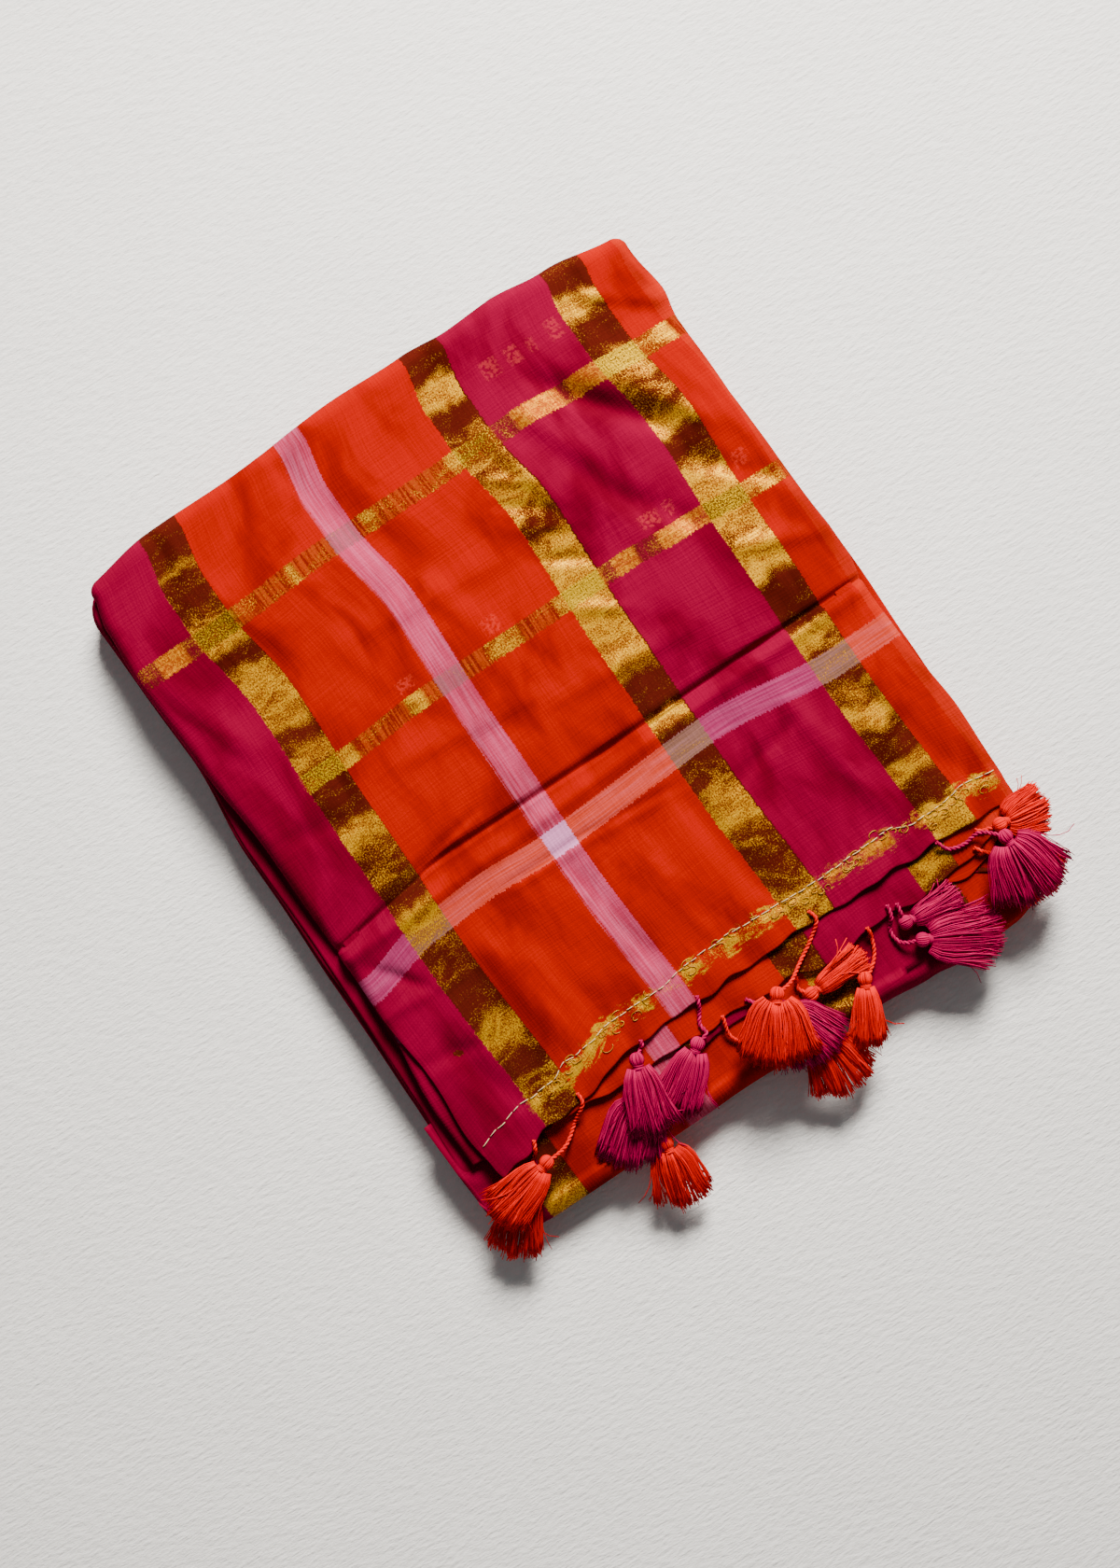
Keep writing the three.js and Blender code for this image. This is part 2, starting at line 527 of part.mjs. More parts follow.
// The cord follows the cloth from the hem and rises to the head.
function cord(tassel) {
  const head = headPlace(tassel);
  const plan = [...tassel.cord, [head.x, head.y]].map(([x, y]) => new THREE.Vector3(x, y, 0));
  const curve = new THREE.CatmullRomCurve3(plan, false, "centripetal");
  const course = curve.getSpacedPoints(CORD_STEPS);
  const reach = 1 + curve.getLength() / (2 * CORD_STEPS);
  course.forEach((point, k) => {
    const t = k / CORD_STEPS;
    const lying = restingNear(point.x, point.y, reach) + CORD_RADIUS + 1.5 * CLEAR;
    point.z = Math.max(lying, lerp(lying, head.z, smooth(0.35, 0.9, t)));
    if (k === CORD_STEPS) point.z = head.z;
  });
  const shell = new Shell();
  const rings = course.map((point, k) => {
    const ahead = course[Math.min(k + 1, CORD_STEPS)].clone().sub(course[Math.max(k - 1, 0)]).normalize();
    const aside = new THREE.Vector3(0, 0, 1).cross(ahead).normalize();
    const up = ahead.clone().cross(aside);
    return Array.from({ length: CORD_SIDES }, (_, s) => {
      const turn = (2 * Math.PI * s) / CORD_SIDES;
      const at = point.clone().addScaledVector(aside, -CORD_RADIUS * Math.cos(turn));
      return shell.point(at.addScaledVector(up, -CORD_RADIUS * Math.sin(turn)).toArray());
    });
  });
  for (let r = 0; r < CORD_STEPS; r++) {
    for (let k = 0; k < CORD_SIDES; k++) {
      const next = (k + 1) % CORD_SIDES;
      shell.quad(rings[r][k], rings[r][next], rings[r + 1][next], rings[r + 1][k]);
    }
  }
  const [first, last] = [rings[0], rings[CORD_STEPS]];
  for (let k = 1; k < CORD_SIDES - 1; k++) {
    shell.faces.push(first[0], first[k + 1], first[k]);
    shell.faces.push(last[0], last[k], last[k + 1]);
  }
  return shell.geometry();
}

function tasselGeometry(wasm, tassel) {
  let whole = solid(wasm, headAndNeck(tassel)).add(solid(wasm, cord(tassel)));
  for (let k = 0; k < LOCKS; k++) whole = whole.add(solid(wasm, lock(tassel, k)));
  return geometryOf(whole);
}

// ---------------------------------------------------------------- the sari
const wasm = await Module();
wasm.setup();

const crimson = clothMaterial("bundle_cotton", 0x8c0f22);
const orange = clothMaterial("pallu_cotton", 0xd8300f);
const magenta = clothMaterial("tassel_magenta", 0xb3085c, 0.75);
const vermilion = clothMaterial("tassel_orange", 0xee3410, 0.75);

const sari = new THREE.Group();
const onOrigin = new THREE.Group();
onOrigin.position.set(-CENTRE.x, -CENTRE.y, 0);
sari.add(onOrigin);

function addPiece(name, geometry, material) {
  const piece = new THREE.Mesh(geometry, material);
  piece.name = name;
  onOrigin.add(piece);
}

addPiece("folded_bundle", bundle(), crimson);
addPiece("pallu_top_ply", topPly(), orange);
const secondPly = { left: LEFT - 5.5, right: RIGHT - 8, hem: SECOND_HEM_EDGE, down: SECOND_DOWN };
const thirdPly = { left: LEFT - 1, right: RIGHT - 12, hem: THIRD_HEM_EDGE, down: THIRD_DOWN };
addPiece("pallu_second_ply", frontPly(secondPly), orange);
addPiece("pallu_third_ply", frontPly(thirdPly), orange);
for (const tassel of TASSELS) {
  const material = tassel.color === "orange" ? vermilion : magenta;
  addPiece(`tassel_${tassel.name}`, tasselGeometry(wasm, tassel), material);
}

export default sari;
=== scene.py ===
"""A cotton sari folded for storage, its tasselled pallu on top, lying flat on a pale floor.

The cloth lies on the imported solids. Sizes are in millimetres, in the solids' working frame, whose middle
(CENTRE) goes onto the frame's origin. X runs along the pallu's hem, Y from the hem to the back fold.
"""
from collections import namedtuple
from functools import partial
from math import cos, pi, radians, sin

import bpy
import numpy as np
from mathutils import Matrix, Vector


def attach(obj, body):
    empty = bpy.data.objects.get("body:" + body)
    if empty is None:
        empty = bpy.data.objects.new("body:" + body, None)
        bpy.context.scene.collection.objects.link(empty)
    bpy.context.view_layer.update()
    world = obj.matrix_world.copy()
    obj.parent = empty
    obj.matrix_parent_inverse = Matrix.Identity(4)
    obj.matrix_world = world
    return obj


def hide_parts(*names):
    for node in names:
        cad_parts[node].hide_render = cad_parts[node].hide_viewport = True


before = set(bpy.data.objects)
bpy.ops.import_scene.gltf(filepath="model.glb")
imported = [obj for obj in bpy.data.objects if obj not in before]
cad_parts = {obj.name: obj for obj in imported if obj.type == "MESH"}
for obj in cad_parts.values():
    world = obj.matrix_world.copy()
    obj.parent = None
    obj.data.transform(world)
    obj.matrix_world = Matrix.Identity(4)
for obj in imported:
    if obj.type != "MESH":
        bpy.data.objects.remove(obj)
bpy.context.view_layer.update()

bl_info = {
    "name": "Folded cotton sari",
    "version": (1, 0, 0),
    "blender": (4, 5, 0),
    "location": "View3D > Sidebar > Sari",
    "description": "Lays a folded handloom sari with its tasselled pallu on top",
    "category": "Object",
}

# ---------------------------------------------------------------- sizes shared with the solids
SARI_WIDTH = 1180
SARI_LENGTH = 5800
PANEL_WIDTH = SARI_WIDTH / 4
PANEL_LENGTH = SARI_LENGTH / 16
TOP_HEIGHT = 34
PLY = 1.2
HEM_EXTRA = 0.6
GAP = 0.4
SECOND_DOWN = PLY + HEM_EXTRA + 1.4 * GAP
THIRD_DOWN = SECOND_DOWN + PLY + 1.2 * GAP
SHELF_DOWN = THIRD_DOWN + PLY + 1.2 * GAP
CENTRE = (4.558, -12.614)
LEFT = 10.5 - PANEL_WIDTH / 2
RIGHT = LEFT + PANEL_WIDTH
BACK = 182
BUNDLE_FRONT = BACK - PANEL_LENGTH
HEM_FRONT = -140
TUCKED_BACK = -112
PLY_BACK = -40
SIDE_ROLL = 6
BACK_ROLL = 8
CORNER_RADIUS = 16
SHELF_TOP = 22.5
CLOTH_WALL = 0.5  # one ply, as it lies in the stack

# Edge tables: each row is a place along the edge and how far out from the middle the edge lies there.
TOP_LEFT_EDGE = [(-150, -5), (-135, -2), (-116, 0), (-88, -2.5), (-54, 0.5), (-20, -0.5), (40, -1.5), (86, 1),
                 (135, 2), (160, 0), (180, -5)]
TOP_RIGHT_EDGE = [(-148, -2.5), (-120, 0), (-86, 1), (-50, -0.5), (-22, -1), (0, 2), (40, 1), (105, 0),
                  (132, 0.5), (150, 3), (170, 1)]
BACK_EDGE = [(-137, -3), (-98, 1.6), (-50, 0), (5, 2), (45, 0), (70, -2.6), (92, -2.3), (121, -6), (158, -12)]
HEM_EDGE = [(-137, 12), (-122, 8.5), (-98, 3), (-80, 3.5), (-56, -4), (-12, -3.2), (25, -3), (64, -1.5),
            (102, 0.5), (138, 2.5), (158, 7)]
SECOND_HEM_EDGE = [(-143, -1), (-120, 3), (-85, 6), (-50, 9), (-10, 10.5), (20, 12.5), (45, 17.5), (66, 15.5),
                   (100, 18), (135, 15), (158, 8)]
THIRD_HEM_EDGE = [(-143, -8), (-100, 4), (-50, 6), (-20, 15), (0, 15.5), (25, 10), (80, 12), (105, 20),
                  (125, 23), (158, 6)]
BUNDLE_LEFT_EDGE = [(-186, 14.5), (-145, 14), (-99, 12), (-34, 9.5), (36, 8), (90, 3.5), (172, 4)]
BUNDLE_RIGHT_EDGE = [(-186, -1), (-130, 1), (-60, 2.2), (0, 3), (90, 2), (172, 1)]
BUNDLE_FRONT_EDGE = [(-151, 0), (-120, 2), (-30, 3.5), (20, 5.5), (53, 9), (80, 12), (101, 15.5), (126, 14.5),
                     (158, 6)]

# Creases and soft folds: from (x0, y0) to (x1, y1), its height, and its width to the front and to the back.
Fold = namedtuple("Fold", "x0 y0 x1 y1 height front back")
MAIN_FOLDS = [Fold(*row) for row in (
    (-150, -19, 170, -21, -1.9, 5, 15), (-60, -44, 27, -51, 0.9, 3, 7), (-110, -17, -52, -9, 0.8, 4, 6),
    (92, 126, 122, 88, -1.4, 7, 9), (66, 106, 92, 44, 1.3, 9, 9), (118, 118, 146, 66, 1.2, 8, 10),
    (142, 146, 160, 112, -1.2, 8, 8), (8, -56, 12, -104, -1.1, 9, 9), (-46, -66, -42, -118, -0.9, 8, 8),
    (68, -30, 74, -112, -1.0, 9, 7), (-62, 150, -48, 84, 0.9, 12, 12), (22, 150, 12, 60, -0.8, 14, 12),
    (-132, -36, -112, -60, -0.9, 5, 5),
)]
# Finer creases, in the cloth alone.
FINE_FOLDS = [Fold(*row) for row in (
    (-146, -25, -72, -15.5, -2.8, 0.8, 2.2), (-76, -16, 18, -19.5, -3.0, 0.8, 2.4),
    (14, -19.5, 100, -21, -3.0, 0.8, 2.4), (96, -21, 168, -23.5, -3.2, 0.8, 2.2),
    (-138, -29, 160, -26, 1.5, 4, 3.2), (-106, -17, -50, -8, -1.6, 1.8, 3.2),
    (-56, -44, -14, -45.5, -1.7, 1.2, 3), (-14, -45.5, 30, -51, -1.6, 1.2, 3),
    (-125, -41, -112, -60, -1.6, 2, 2.4), (-137, -60, -98, -64, 0.9, 2.4, 3.6),
    (-134, -88, -104, -96, -1.1, 3.4, 4), (88, 136, 106, 108, -3.0, 3.6, 6),
    (104, 114, 123, 86, -2.8, 3.6, 6), (79, 94, 93, 58, -2.6, 4, 6), (74, 128, 86, 96, 1.6, 4.5, 6),
    (56, 124, 66, 78, 1.6, 4, 6), (92, 70, 112, 38, -1.8, 4, 6), (126, 106, 144, 74, 2.2, 4, 6),
    (130, 154, 160, 130, 1.8, 3.4, 5), (126, 66, 152, 38, -1.9, 4, 5), (44, 112, 58, 100, 1.2, 2.2, 3),
    (42, 98, 60, 84, -1.4, 2.2, 3), (44, 84, 62, 74, 1.2, 2, 3), (46, 66, 62, 56, -1.3, 2.2, 3),
    (44, 40, 62, 28, 1.2, 2.4, 3), (-30, 172, -16, 112, -1.6, 5, 8), (-88, 146, -70, 96, 1.5, 5, 8),
    (-130, 124, -114, 72, 1.6, 5, 8), (-54, 92, -40, 40, 1.1, 5, 8), (-6, 120, 8, 70, -1.2, 5, 8),
    (-64, 30, 4, 20, 1.2, 4, 8), (10, 12, 80, 4, 1.2, 4, 7), (-26, -56, -20, -114, -1.9, 5, 6),
    (2, -58, 8, -116, 1.7, 4.6, 6), (32, -54, 38, -116, -1.8, 5, 6), (-80, -56, -74, -116, 1.6, 5, 6),
    (-60, -62, -56, -116, -1.4, 5, 6), (96, -46, 106, -118, 1.7, 5, 6), (126, -58, 142, -120, -2.0, 5.6, 6),
    (-120, -84, -110, -124, -1.7, 5.6, 6), (58, -66, 94, -58, -1.2, 3, 4.5), (-44, 88, 34, 78, 1.0, 4.4, 8),
    (116, 22, 158, 4, 1.6, 4, 6), (-124, 30, -92, 22, -1.1, 4, 5), (146, 100, 156, 40, 1.4, 3, 3.4),
)]

# The weave isn't quite straight: how far the warp bands stand to the right at a place along the length,
# and how far the weft bands stand to the back at a place across the width.
WARP_WANDER = [(-136, 0), (-60, -2), (20, 0), (90, 3), (130, -1.4), (150, -1.2), (182, 4)]
FRONT_WEFT_WANDER = [(-137, -7.5), (-95, 0.8), (-65, 1.6), (-28, -0.8), (60, 1), (130, -8), (158, -8.6)]
BACK_WEFT_WANDER = [(-140, 2), (-80, 1), (-40, 2.6), (38, 0.6), (70, 0), (103, -2.6), (142, -6), (160, -7)]

# Tassels. x, y: where the skirt leaves the neck. az: its direction in plan, degrees from +X. spread: half
# its fan. lift: how far it rides above the cloth, on others. drop: how far its ends sink. cord: places in
# plan from the hem to the head.
Tassel = namedtuple("Tassel", "name color x y lift az spread length drop cord")
TASSELS = [
    Tassel("front_left_upper", "orange", -118.5, -157.5, 4.6, 196, 12.5, 28, 3,
           [(-84, -138.5), (-85, -144), (-93, -149.5), (-102.5, -155.5)]),
    Tassel("front_left_lower", "orange", -132, -163, 0, 230, 14, 28, 8,
           [(-112.5, -144.6), (-116, -150.4), (-122, -154.5)]),
    Tassel("left_pair_upper", "magenta", -55, -146, 3.2, 247, 12, 29, 5, [(-46.5, -135.6), (-48, -138.4)]),
    Tassel("left_pair_right", "magenta", -30.5, -155, 0, 217, 13.5, 27, 4,
           [(-14, -134), (-16.5, -139.5), (-20.5, -145.5), (-20.5, -150.5)]),
    Tassel("left_pair_lower", "magenta", -66, -160, 0, 224, 23, 27, 5, [(-57.5, -146.6), (-58.5, -150.5)]),
    Tassel("left_pair_hanging", "orange", -66, -187, 0.3, 256, 19, 25, 8,
           [(-53.6, -145.4), (-55.5, -156), (-61.5, -168), (-64, -176)]),
    Tassel("middle_upper", "orange", 13, -157.5, 6.1, 234, 40, 27, 4.5,
           [(49.5, -132), (50, -137.6), (42, -144), (31.5, -149.5), (24, -153)]),
    Tassel("middle_second", "magenta", 16, -166.5, 3.8, 278, 48, 24, 3, [(3, -148.4), (6, -153), (10, -158)]),
    Tassel("middle_lying", "orange", 34, -164.2, 0, 2, 7, 23, 0, [(27.6, -153.4), (25.5, -159)]),
    Tassel("middle_right", "orange", 50.4, -177, 1.8, 241, 8.5, 25, 5,
           [(67, -154), (66.5, -159), (63.5, -166), (58.5, -170.5)]),
    Tassel("middle_lowest", "orange", 21, -188, 0, 268, 42, 24, 8,
           [(-10, -148.4), (-12, -160), (-2, -172), (12, -178)]),
    Tassel("right_pair_front", "magenta", 89, -176, 2.2, 330, 17, 30, 5,
           [(80.5, -151), (79, -156.5), (75, -163), (76.5, -169.5)]),
    Tassel("right_pair_back", "magenta", 88, -163.5, 0, 352, 9, 21, 0.5, [(84.5, -153), (83.5, -158)]),
    Tassel("corner_front", "magenta", 141.5, -161, 4.8, 269, 48, 27, 6,
           [(115, -140.5), (118, -146.5), (125.5, -149), (134, -148.5)]),
    Tassel("corner_back", "orange", 148.5, -151.6, 0, 351, 29, 18, 2, [(133, -146.6), (136, -149)]),
    Tassel("corner_lower", "orange", 142, -169, 1.2, 294, 32, 22, 6,
           [(128, -153), (131, -157.5), (136, -162)]),
]
HEAD_RADIUS = 3
HEAD_THREADS = 20
NECK_RADIUS = 2.1
NECK_LENGTH = 2.6
NECK_WINDS = 5
CLEAR = 0.4  # between a head and the cloth below it
CORD_TWIST = 4.2  # the length of one turn of its two strands
STRAND_RADIUS, STRAND_OUT = 0.56, 0.48


# ---------------------------------------------------------------- form of the cloth
def smooth(low, high, value):
    share = np.clip((value - low) / (high - low), 0, 1)
    return share * share * (3 - 2 * share)


def lerp(start, end, share):
    return start + (end - start) * share


def along(table, place):
    """A short edge table's value at a place, eased between its rows."""
    ats, outs = np.array(table, dtype=float).T
    row = np.clip(np.searchsorted(ats, place) - 1, 0, len(ats) - 2)
    return lerp(outs[row], outs[row + 1], smooth(ats[row], ats[row + 1], place))


def fold_height(folds, x, y):
    total = np.zeros(np.broadcast(x, y).shape)
    for fold in folds:
        run = np.hypot(fold.x1 - fold.x0, fold.y1 - fold.y0)
        dx, dy = (fold.x1 - fold.x0) / run, (fold.y1 - fold.y0) / run
        forward = (x - fold.x0) * dx + (y - fold.y0) * dy
        across = (y - fold.y0) * dx - (x - fold.x0) * dy
        width = np.where(across * (1 if dx >= 0 else -1) > 0, fold.back, fold.front)
        fade = smooth(-12, 10, forward) * (1 - smooth(run - 10, run + 12, forward))
        total = total + fold.height * fade * np.exp(-((across / width) ** 2))
    return total


def top_height(x, y):
    """The top ply's upper face, and on past its hem, so that lower layers can be measured down from it."""
    towards_hem = 3 * (1 - smooth(-142, -78, y)) + 3.2 * (1 - smooth(-180, -143, y))
    towards_sides = 1.6 * (smooth(70, 150, np.abs(x - (LEFT + RIGHT) / 2)) + smooth(110, 180, y))
    left_droop = 1.4 * (1 - smooth(LEFT - 14, LEFT + 12, x))
    swell = 0.5 * np.sin(x / 27 + 0.6) * np.sin(y / 34 - 0.4)
    return TOP_HEIGHT - towards_hem - towards_sides - left_droop + swell + fold_height(MAIN_FOLDS, x, y)


def corner_drop(x, y):
    """How far the bundle's two front corners sink."""
    corners = 3.2 * (1 - smooth(-140, -100, x)) + 2.2 * smooth(128, 156, x)
    return corners * (1 - smooth(-156, -138, y))


def shelf_height(x, y):
    """The bundle's upper face, where it reaches out past the hems."""
    return top_height(x, y) - SHELF_DOWN - corner_drop(x, y)


def hem_line(table, x):
    return HEM_FRONT - along(table, x)


def front_line(x):
    return BUNDLE_FRONT - along(BUNDLE_FRONT_EDGE, x)


def resting_height(x, y):
    """The highest cloth at a place."""
    past = np.clip((front_line(x) + 10 - y) / 10, 0, 1)
    beside = np.clip((LEFT - 4 - x) / 9, 0, 1) + np.clip((x - RIGHT + 3) / 5, 0, 1)
    height = np.maximum(0, shelf_height(x, y) - 20 * past**3 - 8 * beside**2)
    height = np.where(y > hem_line(THIRD_HEM_EDGE, x), top_height(x, y) - THIRD_DOWN, height)
    height = np.where(y > hem_line(SECOND_HEM_EDGE, x), top_height(x, y) - SECOND_DOWN, height)
    return np.where(y > hem_line(HEM_EDGE, x), top_height(x, y), height)


def resting_near(x, y, reach):
    """The highest cloth over a patch round a place."""
    highest = resting_height(x, y)
    for turn in np.arange(8) * pi / 4:
        highest = np.maximum(highest, resting_height(x + reach * cos(turn), y + reach * sin(turn)))
    return highest


def weave_place(x, y):
    """Where a place of the top ply lies in the straight weave: across the width, and along the length."""
    by_hem = -along(HEM_EDGE, x)
    by_stripe = along(FRONT_WEFT_WANDER, x)
    by_back = along(BACK_WEFT_WANDER, x)
    front = lerp(by_hem, by_stripe, smooth(-116, -66, y))
    return x - along(WARP_WANDER, y), y - lerp(front, by_back, smooth(-20, 30, y))


# ---------------------------------------------------------------- meshes
def in_metres(points):
    """Working millimetres to the frame's metres."""
    return (np.asarray(points, dtype=float) - (CENTRE[0], CENTRE[1], 0)) / 1000


def make_piece(name, points, faces, weave=None, shade=None, smooth_shading=True):
    """An object from points in millimetres and blocks of faces; weave is its place in the cloth, shade its
    thread's own tone."""
    mesh = bpy.data.meshes.new(name)
    mesh.from_pydata(in_metres(points).tolist(), [], [face for block in faces for face in block.tolist()])
    if weave is not None:
        corners = np.empty(len(mesh.loops), dtype=np.int32)
        mesh.loops.foreach_get("vertex_index", corners)
        uv = mesh.uv_layers.new(name="weave")
        uv.data.foreach_set("uv", (np.asarray(weave)[corners] / 1000).ravel())
    if shade is not None:
        tone = mesh.attributes.new("shade", "FLOAT", "POINT")
        tone.data.foreach_set("value", np.asarray(shade, dtype=np.float32))
    if smooth_shading:
        mesh.polygons.foreach_set("use_smooth", [True] * len(mesh.polygons))
    piece = bpy.data.objects.new(name, mesh)
    bpy.context.scene.collection.objects.link(piece)
    return piece


def grid_faces(rows, columns, ring=False, first=0):
    """Faces over a grid of rows by columns of points; ring joins each row's last point to its first."""
    row, column = np.meshgrid(np.arange(rows - 1), np.arange(columns if ring else columns - 1), indexing="ij")
    beside = (column + 1) % columns
    corners = [row * columns + column, row * columns + beside, (row + 1) * columns + beside,
               (row + 1) * columns + column]
    return np.stack(corners, axis=-1).reshape(-1, 4) + first


def on_sari(piece, material, slot, *nodes):
    piece.data.materials.append(material)
    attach(piece, "root")
    if nodes:
        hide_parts(*nodes)


def lay_sheet(name, node, slot, material, points, weave, faces, wall=CLOTH_WALL):
    """A stretch of cloth; wall is its thickness, or 0 where its plies are modelled one by one."""
    piece = make_piece(name, points.reshape(-1, 3), faces, weave.reshape(-1, 2))
    if wall:
        solid = piece.modifiers.new("thickness of the cloth", "SOLIDIFY")
        solid.thickness = wall / 1000
        solid.offset = -1
        solid.use_rim = True
    on_sari(piece, material, slot, node)


# ---------------------------------------------------------------- the top ply
HEM_CURL = 0.8
CURL_TURNS = np.radians([180, 180, 150, 120, 90, 60, 30])
TOP_TUCK, LOWER_TUCK = 5, 4  # how far a turned hem's raw edge runs back under it, on top and below
ROLL_TURNS = np.linspace(0, 1, 7)[1:]
BACK_BEND = 82  # degrees
PRESSED_CREASE, STITCHED_HEM = -22, -128
RUFFLE_REACH = 8  # how far behind a hem its edge still wavers
STITCH_BACK = 17  # the running stitch lies about this far behind the hem's folded edge
STITCH_WANDER = [(-136, 0.6), (-112, 1.2), (-100, -1.8), (-90, -1.4), (-80, 3.2), (-72, 0.8), (-62, -2.4),
                 (-48, -1.8), (-25, -2.2), (-12, 0), (12, 0.6), (40, -1.2), (62, -1.6), (85, -0.4),
                 (100, 0.2), (112, -3.8), (126, -3), (140, -0.6), (156, 0.6)]


def side_bend(y):
    return np.radians(lerp(20, 78, smooth(-90, -20, y)))


def close_steps(count):
    """Shares of the cloth's length, closer together at the pressed crease and the stitched hem."""
    share = np.linspace(0, 1, 1000)
    y = lerp(HEM_FRONT, BACK - BACK_ROLL, share)
    density = (1 + 2.2 * np.exp(-(((y - PRESSED_CREASE) / 11) ** 2))
               + 0.8 * np.exp(-(((y - STITCHED_HEM) / 12) ** 2)))
    run = np.cumsum(density) - density[0]
    return np.interp(np.linspace(0, run[-1], count), run, share)


def top_ply_grid(columns=158, rows=230):
    """The top ply's points and weave places: a curled hem, a flat part, and sides and back rolled down."""
    across = np.concatenate([np.zeros(len(ROLL_TURNS)), np.linspace(0, 1, columns), np.ones(len(ROLL_TURNS))])
    side_turn = np.concatenate([ROLL_TURNS[::-1], np.zeros(columns), ROLL_TURNS])
    lengthways = np.concatenate([np.zeros(len(CURL_TURNS)), close_steps(rows), np.ones(len(ROLL_TURNS))])
    curl = np.concatenate([CURL_TURNS, np.zeros(rows + len(ROLL_TURNS))])
    tuck = np.zeros(len(lengthways))
    tuck[0] = TOP_TUCK
    back_turn = np.concatenate([np.zeros(len(CURL_TURNS) + rows), ROLL_TURNS])
    u, v = np.meshgrid(across, lengthways)
    side_turn, back_turn = np.meshgrid(side_turn, back_turn)
    curl, tuck = curl[:, None] + 0 * u, tuck[:, None] + 0 * u

    rough = lerp(HEM_FRONT, BACK - BACK_ROLL, v)
    reach = SIDE_ROLL * np.sin(side_bend(rough))
    x_left = LEFT - along(TOP_LEFT_EDGE, rough) + reach
    x_right = RIGHT + along(TOP_RIGHT_EDGE, rough) - reach
    x = lerp(x_left, x_right, u)
    bend_back = radians(BACK_BEND)
    y = lerp(hem_line(HEM_EDGE, x) + HEM_CURL, BACK + along(BACK_EDGE, x) - BACK_ROLL * sin(bend_back), v)
    y = y + ruffle(x, y, HEM_EDGE, 0.4)

    turned = np.hypot(side_turn, back_turn)
    share = np.divide(back_turn, turned, out=np.zeros_like(turned), where=turned > 0)
    sideways = np.divide(side_turn, turned, out=np.zeros_like(turned), where=turned > 0)
    radius = lerp(SIDE_ROLL, BACK_ROLL, share)
    bend = np.minimum(1, turned) * lerp(side_bend(y), bend_back, share)
    side = np.where(u < 0.5, -1, 1)
    out = radius * np.sin(bend)
    points = np.stack([
        x + side * out * sideways,
        y + out * share - HEM_CURL * np.sin(curl) + tuck,
        cloth_height(x, y) - radius * (1 - np.cos(bend)) - HEM_CURL * (1 - np.cos(curl)),
    ], axis=-1)
    cloth_u, cloth_v = weave_place(x, y)
    weave = np.stack([
        cloth_u + side * radius * bend * sideways,
        cloth_v + radius * bend * share - HEM_CURL * curl - tuck,
    ], axis=-1)
    return points, weave


def stitch_line(x):
    return hem_line(HEM_EDGE, x) + STITCH_BACK + along(STITCH_WANDER, x)


def ruffle(x, y, hem, phase):
    """How a hem's edge wavers, in and out."""
    waver = 0.8 * np.sin(x / 6.1 + 1.4 * np.sin(x / 17) + phase) + 0.5 * np.sin(x / 2.9 + 2 * phase)
    return waver * np.exp(-(((y - hem_line(hem, x)) / RUFFLE_REACH) ** 2))


def hem_relief(x, y):
    """The turned hem stands up in waves, and its stitches pull a groove."""
    behind = y - stitch_line(x)
    step = 0.45 * (1 - smooth(-1, 2, behind))
    groove = -0.4 * np.exp(-(((behind + 1) / 1.3) ** 2))
    pucker = 0.3 * np.sin(x * 0.9 + 1.7 * np.sin(x / 11)) * np.exp(-((behind / 6) ** 2))
    wave = 0.75 * np.sin(x / 5.3 + 2 * np.sin(x / 19)) * (1 - smooth(-17, -3, behind))
    return step + groove + pucker + wave


def cloth_height(x, y):
    """The top ply's face with all its creases and its stitched hem."""
    return top_height(x, y) + fold_height(FINE_FOLDS, x, y) + hem_relief(x, y)


def lay_top_ply(material):
    points, weave = top_ply_grid()
    faces = [grid_faces(*points.shape[:2])]
    lay_sheet("pallu_top_cloth", "pallu_top_ply", "pallu_cotton", material, points, weave, faces)


# ---------------------------------------------------------------- the plies whose hems show in front
LOWER_HEM_PLACE = -112  # of their hems, along the weave


def lay_front_ply(name, node, material, left, right, hem, down, across_weave):
    """A strip of a lower ply, from its curled hem to under the top one. across_weave turns x into a place
    across the cloth."""
    rows = 40
    lengthways = np.concatenate([np.zeros(len(CURL_TURNS)), np.linspace(0, 1, rows) ** 1.4])
    curl = np.concatenate([CURL_TURNS, np.zeros(rows)])[:, None]
    tuck = np.zeros((len(lengthways), 1))
    tuck[0] = LOWER_TUCK
    across, v = np.meshgrid(np.linspace(0, 1, 140), lengthways)
    narrowing = smooth(0.25, 1, v)
    x = lerp(lerp(left, LEFT + 3, narrowing), lerp(right, min(right, RIGHT - 8), narrowing), across)
    y = lerp(hem_line(hem, x) + HEM_CURL, PLY_BACK, v)
    y = y + ruffle(x, y, hem, down)
    wrinkle = 0.5 * np.sin(x / 9 + 2 * np.sin(x / 31)) * (1 - smooth(0, 0.3, v))
    z = top_height(x, y) - down + wrinkle - HEM_CURL * (1 - np.cos(curl)) - 0.6 * narrowing
    points = np.stack([x, y - HEM_CURL * np.sin(curl) + tuck, z], axis=-1)
    cloth_v = y - hem_line(hem, x) + LOWER_HEM_PLACE - HEM_CURL * curl - tuck
    weave = np.stack([across_weave(x), cloth_v], axis=-1)
    lay_sheet(name, node, "pallu_cotton", material, points, weave, [grid_faces(*x.shape)])


def second_ply_weave(x):
    return 18 + x


def third_ply_weave(x):
    """The third ply is turned over, so its bands run the other way, but for its left end."""
    return np.where(x < -55, x + 6, np.maximum(92 - x, -14))


